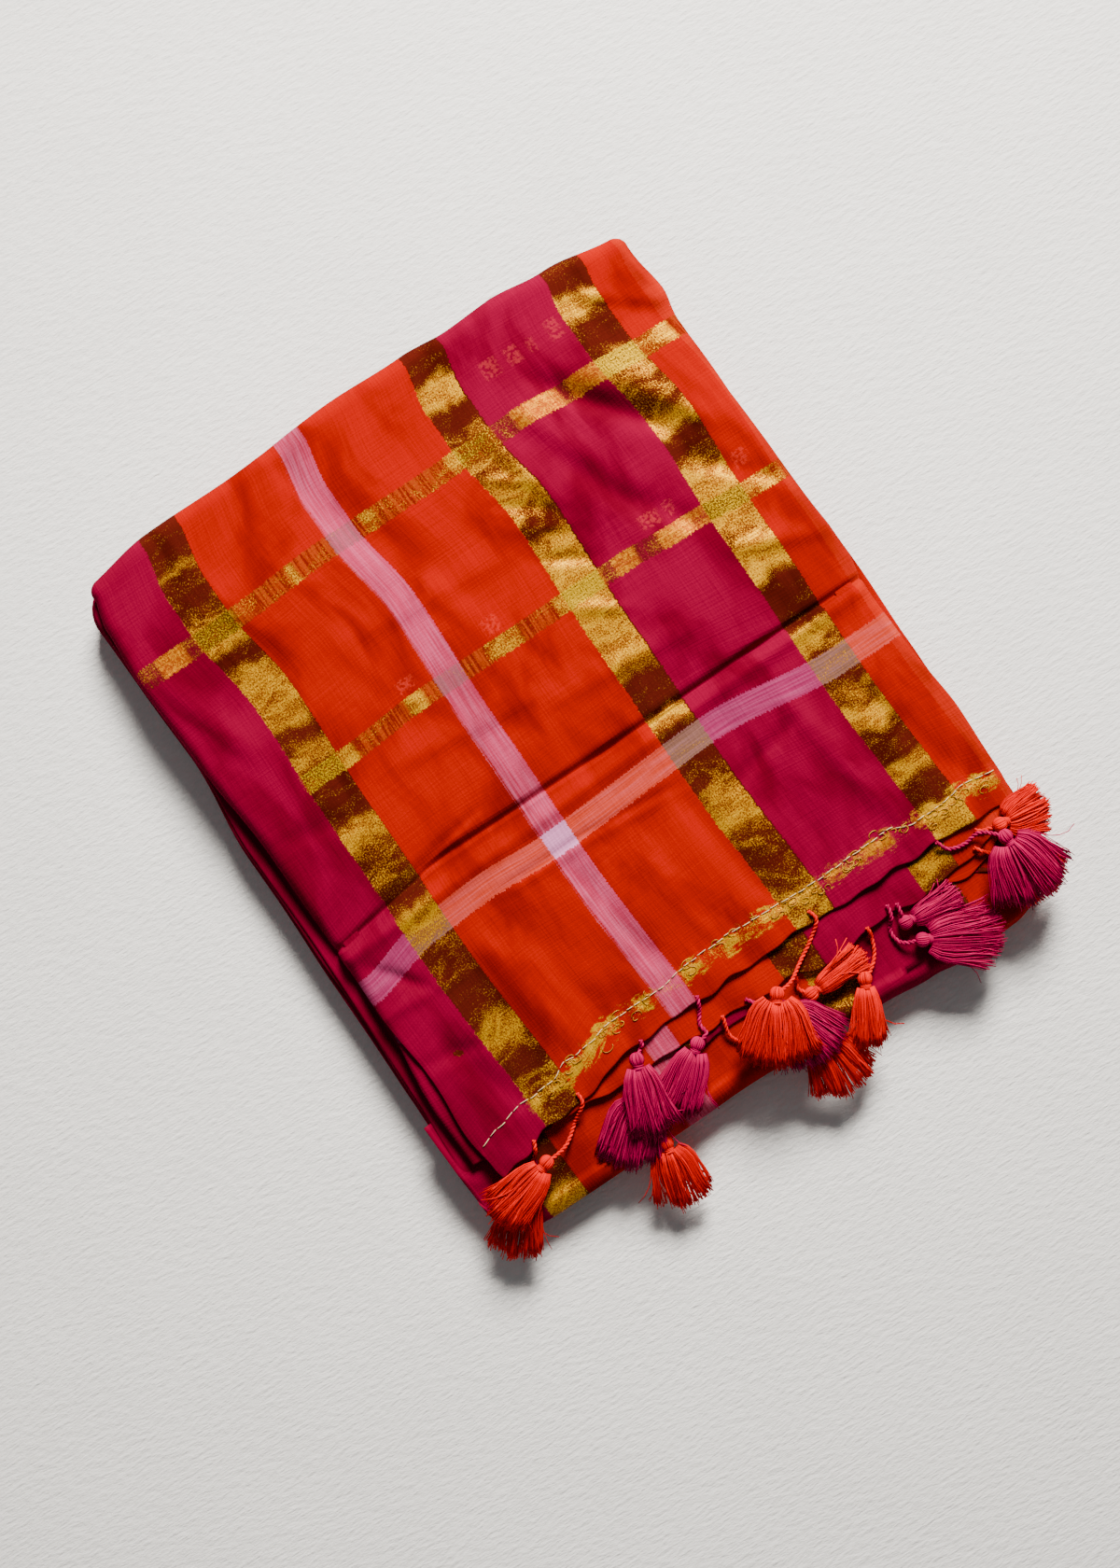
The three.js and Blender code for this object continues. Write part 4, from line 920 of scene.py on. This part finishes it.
def handloom_cotton(colours):
    """Handloom cotton with woven zari: plain weave of slubby dyed yarn, matt, with gold thread floating in
    bands. The eye gets an uneven grain along both yarns, and a broken metallic glint where gold shows."""
    material, add = new_material("handloom cotton with zari")
    place = add("VectorMath", add("UVMap", uv_map="weave"), 1000.0, operation="SCALE")
    u, v = add("SeparateXYZ", place, output="X"), add("SeparateXYZ", place, output="Y")

    def noise(u_scale, v_scale, detail=2.0, distortion=0.0):
        spread = add("Mapping", named={"Vector": place, "Scale": (u_scale, v_scale, 1)})
        inputs = {"Vector": spread, "Scale": 1.0, "Detail": detail, "Distortion": distortion}
        return add("TexNoise", named=inputs, noise_dimensions="2D")

    def spread_over(low, high, value):
        """A 0 to 1 value spread from low to high."""
        return add("MULTIPLY_ADD", value, high - low, low)

    def between(value, low, high):
        """1 where the value lies between two limits, else 0."""
        return add("COMPARE", value, (low + high) / 2, (high - low) / 2)

    def chain(operation, first, *others):
        """One operation over several values in turn."""
        for other in others:
            first = add(operation, first, other)
        return first

    def stepped(value, stops, span):
        """Steps over millimetres; each stop is a place and a colour or a grey level."""
        steps = add("ValToRGB", add("MapRange", value, *span, interpolation_type="LINEAR"))
        ramp = steps.node.color_ramp
        ramp.interpolation = "CONSTANT"
        for index, (at, tone) in enumerate(stops):
            position = min(max((at - span[0]) / (span[1] - span[0]), 0), 1)
            stop = ramp.elements[index] if index < 2 else ramp.elements.new(position)
            stop.position = position
            stop.color = tone if isinstance(tone, tuple) else (tone, tone, tone, 1)
        return steps

    def yarns(along_place, jitter):
        turn = add("MULTIPLY_ADD", along_place, 2 * pi / WEAVE_PITCH, add("MULTIPLY", jitter, 5.0))
        return spread_over(0.5, 1.0, add("SINE", turn))

    # Slubs: 20 to 30 mm long in the warp and the weft, about 1 mm wide.
    warp_slubs, weft_slubs = noise(1.1, 0.04, 3), noise(0.035, 1.1, 3)
    warp, weft = yarns(u, warp_slubs), yarns(v, weft_slubs)
    grain = noise(1.5, 1.3, 2)
    u_edge = add("ADD", u, spread_over(-0.8, 0.8, noise(0.06, 1.2, 1)))
    v_edge = add("ADD", v, spread_over(-1.1, 1.1, noise(1.2, 0.06, 1)))
    on_pink = between(u_edge, *PINK_STRIPE)
    on_zari = chain("MAXIMUM", *[between(u_edge, *band) for band in ZARI_BANDS])
    left_magenta = add("LESS_THAN", u_edge, ZARI_LEFT[0])
    on_magenta = add("MAXIMUM", between(u_edge, ZARI_MIDDLE[1], ZARI_RIGHT[0]), left_magenta)

    # The ground: dyed bands, darkened in soft patches by painted shade, then the pale weft stripe over them.
    bands = stepped(u_edge, [(at, colours[name]) for at, name, _ in WARP_BANDS], U_RANGE)
    pale_bands = stepped(u_edge, [(at, colours[name]) for at, _, name in WARP_BANDS], U_RANGE)
    # painted shade: soft darker patches, as of folds and plies below, multiplied into every band
    shade_patches = add("MapRange", noise(0.045, 0.02, 3, 0.4), 0.35, 0.75)
    ground = add("Mix", shade_patches, bands, add("Mix", 1.0, bands, colours["depth"], blend_type="MULTIPLY"))
    pink_threads = chain("MULTIPLY", on_pink, add("MapRange", warp_slubs, 0.3, 0.8), 0.25)
    ground = add("Mix", pink_threads, ground, colours["pale_thread"])
    pale = between(v_edge, *PALE_WEFT)
    ground = add("Mix", add("MULTIPLY", pale, spread_over(0.78, 1.1, weft_slubs)), ground, pale_bands)
    white = chain("MULTIPLY", pale, add("MapRange", weft_slubs, 0.3, 0.8), 0.14)
    ground = add("Mix", white, ground, colours["pale_thread"])

    # Where gold wefts cross orange or brown the cloth is amber, gathered into ribs with painted shade in
    # their grooves; over magenta it darkens.
    ribs = add("MapRange", add("ADD", noise(0.75, 0.05, 2), spread_over(-0.2, 0.2, grain)), 0.34, 0.66)
    gold_wefts = chain("MAXIMUM", *[between(v_edge, *weft_band) for weft_band in AMBER_WEFTS])
    amber = chain("MULTIPLY", gold_wefts, chain("SUBTRACT", 1.0, on_magenta, on_pink), 0.85)
    ground = add("Mix", amber, ground, add("Mix", ribs, colours["amber_shade"], colours["amber"]))
    greyed = chain("MULTIPLY", gold_wefts, on_pink, spread_over(0.7, 0.4, ribs))
    ground = add("Mix", greyed, ground, colours["zari_on_pink"])

    # Gold: charted stretches with soft ends, partly gold floating in the weave and partly painted reflection
    # where the band would catch the light, painted brighter and darker as small waves turn it to the light.
    # The blur is finer than the yarn, so that an edge fades as its threads thin out.
    waves = add("MapRange", noise(0.07, 0.15, 2, 0.8), 0.3, 0.7)
    blur = spread_over(-5.0, 5.0, noise(3.7, 3.3, 0))
    fine_blur = add("MULTIPLY", blur, 0.4)
    v_gold = chain("ADD", v, spread_over(-7.0, 7.0, noise(0.09, 0.05, 2)), blur)
    v_frayed = chain("ADD", v, spread_over(-6.5, 6.5, noise(0.16, 0.4, 3)), fine_blur)
    u_dash = chain("ADD", u, spread_over(-1.5, 1.5, grain), fine_blur)
    warp_gold = chain("ADD", *[add("MULTIPLY", between(u_edge, *band), stepped(v_gold, stretches, V_RANGE))
                               for band, stretches in ZARI_BANDS.items()])
    weft_gold = chain("MAXIMUM", *[
        add("MULTIPLY", between(v_frayed if weft_band == HEM_WEFT else v_edge, *weft_band),
            stepped(u_dash, dashes, U_RANGE)) for weft_band, dashes in ZARI_WEFTS.items()])
    ghosts = chain("MAXIMUM", *[add("MULTIPLY", between(v_edge, low, high), between(u_dash, start, end))
                                for low, high, start, end in GHOST_DASHES])
    mottled = add("MapRange", noise(0.55, 0.6, 2), 0.38, 0.6)
    ground = add("Mix", add("MULTIPLY", ghosts, mottled), ground, colours["ghost"], blend_type="ADD")
    thin_weft = between(weft_gold, 0.15, 0.45)
    dark_ribs = chain("MULTIPLY", gold_wefts, on_magenta, thin_weft, spread_over(0.75, 0.35, ribs))
    ground = add("Mix", dark_ribs, ground, colours["zari_ground"])

    gold = add("MAXIMUM", warp_gold, weft_gold)
    level = chain("ADD", gold, spread_over(-0.14, 0.1, waves), spread_over(-0.5, 0.5, grain))
    shown = add("MULTIPLY", add("MapRange", level, 0.12, 0.62), add("GREATER_THAN", gold, 0.01))
    thick_weft = add("GREATER_THAN", weft_gold, 0.3)
    dash = add("MULTIPLY", on_magenta, thick_weft)
    # light: painted highlight and shade on the gold, picking among its shaded, plain and shining colours; it
    # comes from the waves, the amount of gold and the grain, and is painted brighter along the hem
    light = chain("ADD", spread_over(-0.12, 0.36, waves), spread_over(-0.2, 0.6, gold),
                  spread_over(-1.15, 1.15, grain), add("MULTIPLY", dash, spread_over(-0.5, 0.15, mottled)),
                  add("MULTIPLY", between(v, *HEM_STRETCH), 0.3))
    tone = add("Mix", add("MapRange", light, -0.1, 0.5), colours["zari_shade"], colours["zari_gold"])
    tone = add("Mix", add("MapRange", light, 0.35, 0.95), tone, colours["zari_glint"])
    tone = add("Mix", add("MULTIPLY", dash, 0.5), tone, colours["zari_rose"])
    olive_share = add("MapRange", add("ADD", grain, spread_over(-0.5, 0.3, weft_gold)), 0.34, 0.62)
    olive = add("Mix", olive_share, colours["zari_dark"], colours["zari_olive"])
    tone = add("Mix", chain("MULTIPLY", gold_wefts, on_zari, thick_weft, 0.85), tone, olive)

    relief = chain("ADD", spread_over(0.86, 0.89, add("ADD", warp, weft)),
                   spread_over(-0.12, 0.15, warp_slubs), spread_over(-0.08, 0.12, weft_slubs),
                   spread_over(-0.14, 0.18, grain))
    height = chain("ADD", warp_slubs, weft_slubs, chain("MULTIPLY", warp, weft, 0.25))
    add("OutputMaterial", add("BsdfPrincipled", named={
        "Base Color": add("Mix", 1.0, add("Mix", shown, ground, tone), relief, blend_type="MULTIPLY"),
        "Metallic": add("MULTIPLY", shown, 0.4),
        "Roughness": spread_over(0.95, 0.5, shown),
        "Normal": add("Bump", named={"Height": height, "Strength": 0.35, "Distance": 0.0004}),
        "Specular IOR Level": 0.01,
    }))
    return material


def yarn(name, light, dark):
    """Soft mercerised cotton yarn: each thread takes the light a little differently."""
    material, add = new_material(name)
    shade = add("Attribute", attribute_name="shade", output="Fac")
    # strands of fibre about 0.4 mm across in the yarn
    place = add("TexCoord", output="Object")
    fibres = add("TexNoise", named={"Vector": place, "Scale": 2600.0, "Detail": 2.0})
    blend = add("MULTIPLY_ADD", shade, 0.75, add("MULTIPLY", fibres, 0.25), use_clamp=True)
    add("OutputMaterial", add("BsdfPrincipled", named={
        "Base Color": add("Mix", blend, dark, light),
        "Normal": add("Bump", named={"Height": fibres, "Strength": 0.4, "Distance": 0.0002}),
        "Roughness": 0.62,
        "Specular IOR Level": 0.03,
    }))
    return material


def zari_thread(light, dark):
    """Zari thread, flat gold-coloured metal wound on a core: small bright glints on a warm, worn metal."""
    material, add = new_material("zari gold thread")
    colour = add("Mix", add("Attribute", attribute_name="shade", output="Fac"), dark, light)
    shader = add("BsdfPrincipled", named={"Base Color": colour, "Metallic": 0.3, "Roughness": 0.45})
    add("OutputMaterial", shader)
    return material


def plush_floor(colour):
    """A pale, short-piled plush surface: matt, with a fine nap and faint brushed patches."""
    material, add = new_material("pale plush floor")
    place = add("TexCoord", output="Object")
    # tufts about 2 mm apart and 7 mm long, all brushed one way, in patches about 60 mm across
    brushed = add("Mapping", named={"Vector": place, "Rotation": (0, 0, radians(55)), "Scale": (1, 3.2, 1)})
    tufts = add("TexNoise", named={"Vector": brushed, "Scale": 150.0, "Detail": 4.0, "Roughness": 0.65})
    patches = add("TexNoise", named={"Vector": place, "Scale": 16.0, "Detail": 3.0})
    tone = add("ADD", add("MULTIPLY_ADD", tufts, 0.22, 0.84), add("MULTIPLY_ADD", patches, 0.1, -0.05))
    add("OutputMaterial", add("BsdfPrincipled", named={
        "Base Color": add("Mix", 1.0, colour, tone, blend_type="MULTIPLY"),
        "Normal": add("Bump", named={"Height": tufts, "Strength": 0.7, "Distance": 0.0015}),
        "Roughness": 0.95,
    }))
    return material


# ---------------------------------------------------------------- stage
CAMERA_HEIGHT = 934  # above the floor
CAMERA_PLACE = (-8.8, -19.6)
CAMERA_TURN = -35.5  # degrees: the sari lies turned in the view
CAMERA_LENS = 45.6  # for a 36 mm sensor along the picture's long side


def set_camera():
    camera = bpy.data.objects.new("camera", bpy.data.cameras.new("camera"))
    camera.data.lens = CAMERA_LENS
    camera.data.sensor_width = 36
    camera.location = in_metres([*CAMERA_PLACE, CAMERA_HEIGHT])
    camera.rotation_euler = (0, 0, radians(CAMERA_TURN))
    bpy.context.scene.collection.objects.link(camera)
    bpy.context.scene.camera = camera


# Each lamp's name, its place and size in metres, its power, its colour, and its spread in degrees.
LAMPS = [
    ("window light", (0.98, 1.18, 1.3), 0.66, 29.5, "#fffaf4", 80),
    ("room light", (-0.5, 0.5, 1.9), 1.8, 1.0, "#f4f7ff", 180),
]
LAMP_AIM = (0.03, 0.06, 0)  # the sari's back half
WORLD_COLOUR, WORLD_STRENGTH = "#eef0f2", 0.13
FLOOR_CORNERS = [(-3000, -3000, 0), (3000, -3000, 0), (3000, 3000, 0), (-3000, 3000, 0)]


def set_lamp(name, place, size, power, colour, spread):
    lamp = bpy.data.lights.new(name, "AREA")
    lamp.spread = radians(spread)
    lamp.size = size
    lamp.energy = power
    lamp.color = linear(colour)[:3]
    light = bpy.data.objects.new(name, lamp)
    light.location = place
    light.rotation_euler = (Vector(LAMP_AIM) - Vector(place)).to_track_quat("-Z", "Y").to_euler()
    bpy.context.scene.collection.objects.link(light)


def set_stage(settings):
    set_camera()
    floor = make_piece("floor", FLOOR_CORNERS, [np.array([[0, 1, 2, 3]])], smooth_shading=False)
    floor.data.materials.append(plush_floor(chosen(settings)["floor"]))
    for name, place, size, power, colour, spread in LAMPS:
        set_lamp(name, place, size, power * settings.light, colour, spread)
    world = bpy.data.worlds.new("soft room")
    world.use_nodes = True
    world.node_tree.nodes["Background"].inputs["Color"].default_value = linear(WORLD_COLOUR)
    world.node_tree.nodes["Background"].inputs["Strength"].default_value = WORLD_STRENGTH * settings.light
    bpy.context.scene.world = world


# ---------------------------------------------------------------- settings, operators and panel
# The colours that a user may change: what each is for, and its default.
COLOURS = {
    "orange": ("Orange warp and weft", "#9e0a00"),
    "magenta": ("Magenta border yarn", "#7c002a"),
    "pink": ("Pale pink warp stripe", "#b63456"),
    "sheer_edge": ("Orange selvedge, where light comes through", "#a81c08"),
    "depth": ("Shade in the folds, multiplied into every band", "#c4aaaa"),
    "zari_ground": ("Brown ground of the gold bands", "#4e130c"),
    "zari_gold": ("Gold thread", "#9c6008"),
    "zari_glint": ("Gold thread where it shines", "#c89208"),
    "zari_shade": ("Gold thread in shade", "#642a08"),
    "zari_olive": ("Gold thread crossed by gold thread", "#ae8a02"),
    "zari_dark": ("Gaps between crossed gold threads", "#442606"),
    "zari_on_pink": ("Gold weft under the pink stripe", "#744e50"),
    "zari_rose": ("Gold weft with magenta showing through", "#ac500e"),
    "ghost": ("Light added where gold below shows through", "#601c14"),
    "amber": ("Gold weft on orange, lit", "#943608"),
    "amber_shade": ("Gold weft on orange, in its grooves", "#600e02"),
    "pale_thread": ("White thread in the pale stripes", "#cc7c9c"),
    "pale_on_magenta": ("Pale weft over magenta", "#8c2450"),
    "pale_on_orange": ("Pale weft over orange", "#b23620"),
    "pale_on_pink": ("Pale weft over the pink stripe", "#c880ac"),
    "pale_on_zari": ("Pale weft over the gold bands", "#735041"),
    "stitching": ("Sewing thread of the hem", "#e6c68e"),
    "stitching_shade": ("Sewing thread in shade", "#c8a888"),
    "orange_tassels": ("Orange tassel yarn", "#f60000"),
    "orange_tassels_shade": ("Orange tassel yarn in shade", "#ae0000"),
    "magenta_tassels": ("Magenta tassel yarn", "#cc0058"),
    "magenta_tassels_shade": ("Magenta tassel yarn in shade", "#6c0028"),
    "floor": ("Pale floor", "#fcfaf6"),
}


def colour_property(name, description, code):
    return bpy.props.FloatVectorProperty(name=name.replace("_", " ").capitalize(), description=description,
                                         default=srgb(code), size=3, subtype="COLOR_GAMMA", min=0, max=1)


class SariSettings(bpy.types.PropertyGroup):
    """Colours, threads and light of the sari and its stage."""

    __annotations__ = {name: colour_property(name, *row) for name, row in COLOURS.items()}
    threads: bpy.props.IntProperty(name="Threads", description="Threads in a tassel's skirt", default=420,
                                   min=20)
    light: bpy.props.FloatProperty(name="Light", description="Strength of all lights", default=1.0, min=0)


def chosen(settings):
    """The chosen colours, kept as sRGB in 8 bits, as linear ones."""
    codes = {name: "#" + "".join(f"{round(part * 255):02x}" for part in getattr(settings, name))
             for name in COLOURS}
    return {name: linear(code) for name, code in codes.items()}


def cloth_material(settings):
    """The one cloth that every stretch is cut from."""
    name = "handloom cotton with zari"
    return bpy.data.materials.get(name) or handloom_cotton(chosen(settings))


class SARI_OT_set_stage(bpy.types.Operator):
    """Set the camera, the pale floor and the soft light"""

    bl_idname = "sari.set_stage"
    bl_label = "Set stage"

    def execute(self, context):
        set_stage(context.scene.sari)
        return {"FINISHED"}


class SARI_OT_lay_bundle(bpy.types.Operator):
    """Lay the hidden folds, their stacked edges and the outer wrap"""

    bl_idname = "sari.lay_bundle"
    bl_label = "Lay bundle"

    def execute(self, context):
        cloth = cloth_material(context.scene.sari)
        lay_core(cloth)
        lay_folded_edges(cloth)
        lay_wrap(cloth)
        return {"FINISHED"}


class SARI_OT_lay_pallu(bpy.types.Operator):
    """Lay the three plies of the pallu that show, with their curled hems"""

    bl_idname = "sari.lay_pallu"
    bl_label = "Lay pallu"

    def execute(self, context):
        cloth = cloth_material(context.scene.sari)
        lay_top_ply(cloth)
        lay_front_ply("pallu_second_cloth", "pallu_second_ply", cloth, LEFT - 5.5, RIGHT - 8, SECOND_HEM_EDGE,
                      SECOND_DOWN, second_ply_weave)
        lay_front_ply("pallu_third_cloth", "pallu_third_ply", cloth, LEFT - 1, RIGHT - 12, THIRD_HEM_EDGE,
                      THIRD_DOWN, third_ply_weave)
        return {"FINISHED"}


class SARI_OT_tie_tassels(bpy.types.Operator):
    """Tie the tassels along the hems"""

    bl_idname = "sari.tie_tassels"
    bl_label = "Tie tassels"

    def execute(self, context):
        settings = context.scene.sari
        colours = chosen(settings)
        yarns = {
            name: yarn(f"{name} cotton yarn", colours[f"{name}_tassels"], colours[f"{name}_tassels_shade"])
            for name in ("orange", "magenta")
        }
        for index, tassel in enumerate(TASSELS):
            tie_tassel(index, tassel, yarns[tassel.color], settings.threads)
        return {"FINISHED"}


class SARI_OT_sew_hem(bpy.types.Operator):
    """Sew the running stitch and the gold loops of the hem"""

    bl_idname = "sari.sew_hem"
    bl_label = "Sew hem"

    def execute(self, context):
        colours = chosen(context.scene.sari)
        stitching = yarn("cream sewing cotton", colours["stitching"], colours["stitching_shade"])
        sew_hem(stitching, zari_thread(colours["zari_glint"], colours["zari_gold"]))
        return {"FINISHED"}


STEPS = (SARI_OT_set_stage, SARI_OT_lay_bundle, SARI_OT_lay_pallu, SARI_OT_tie_tassels, SARI_OT_sew_hem)


class SARI_PT_panel(bpy.types.Panel):
    """The steps and settings of the folded sari"""

    bl_label = "Folded sari"
    bl_idname = "SARI_PT_panel"
    bl_space_type = "VIEW_3D"
    bl_region_type = "UI"
    bl_category = "Sari"

    def draw(self, context):
        for step in STEPS:
            self.layout.operator(step.bl_idname)
        for name in SariSettings.__annotations__:
            self.layout.prop(context.scene.sari, name)


CLASSES = (SariSettings, *STEPS, SARI_PT_panel)


def register():
    for cls in CLASSES:
        bpy.utils.register_class(cls)
    bpy.types.Scene.sari = bpy.props.PointerProperty(type=SariSettings)


def unregister():
    del bpy.types.Scene.sari
    for cls in reversed(CLASSES):
        bpy.utils.unregister_class(cls)


def main():
    register()
    bpy.ops.object.select_all(action="DESELECT")
    bpy.ops.sari.set_stage()
    bpy.ops.sari.lay_bundle()
    bpy.ops.sari.lay_pallu()
    bpy.ops.sari.tie_tassels()
    bpy.ops.sari.sew_hem()


if __name__ == "__main__":
    main()
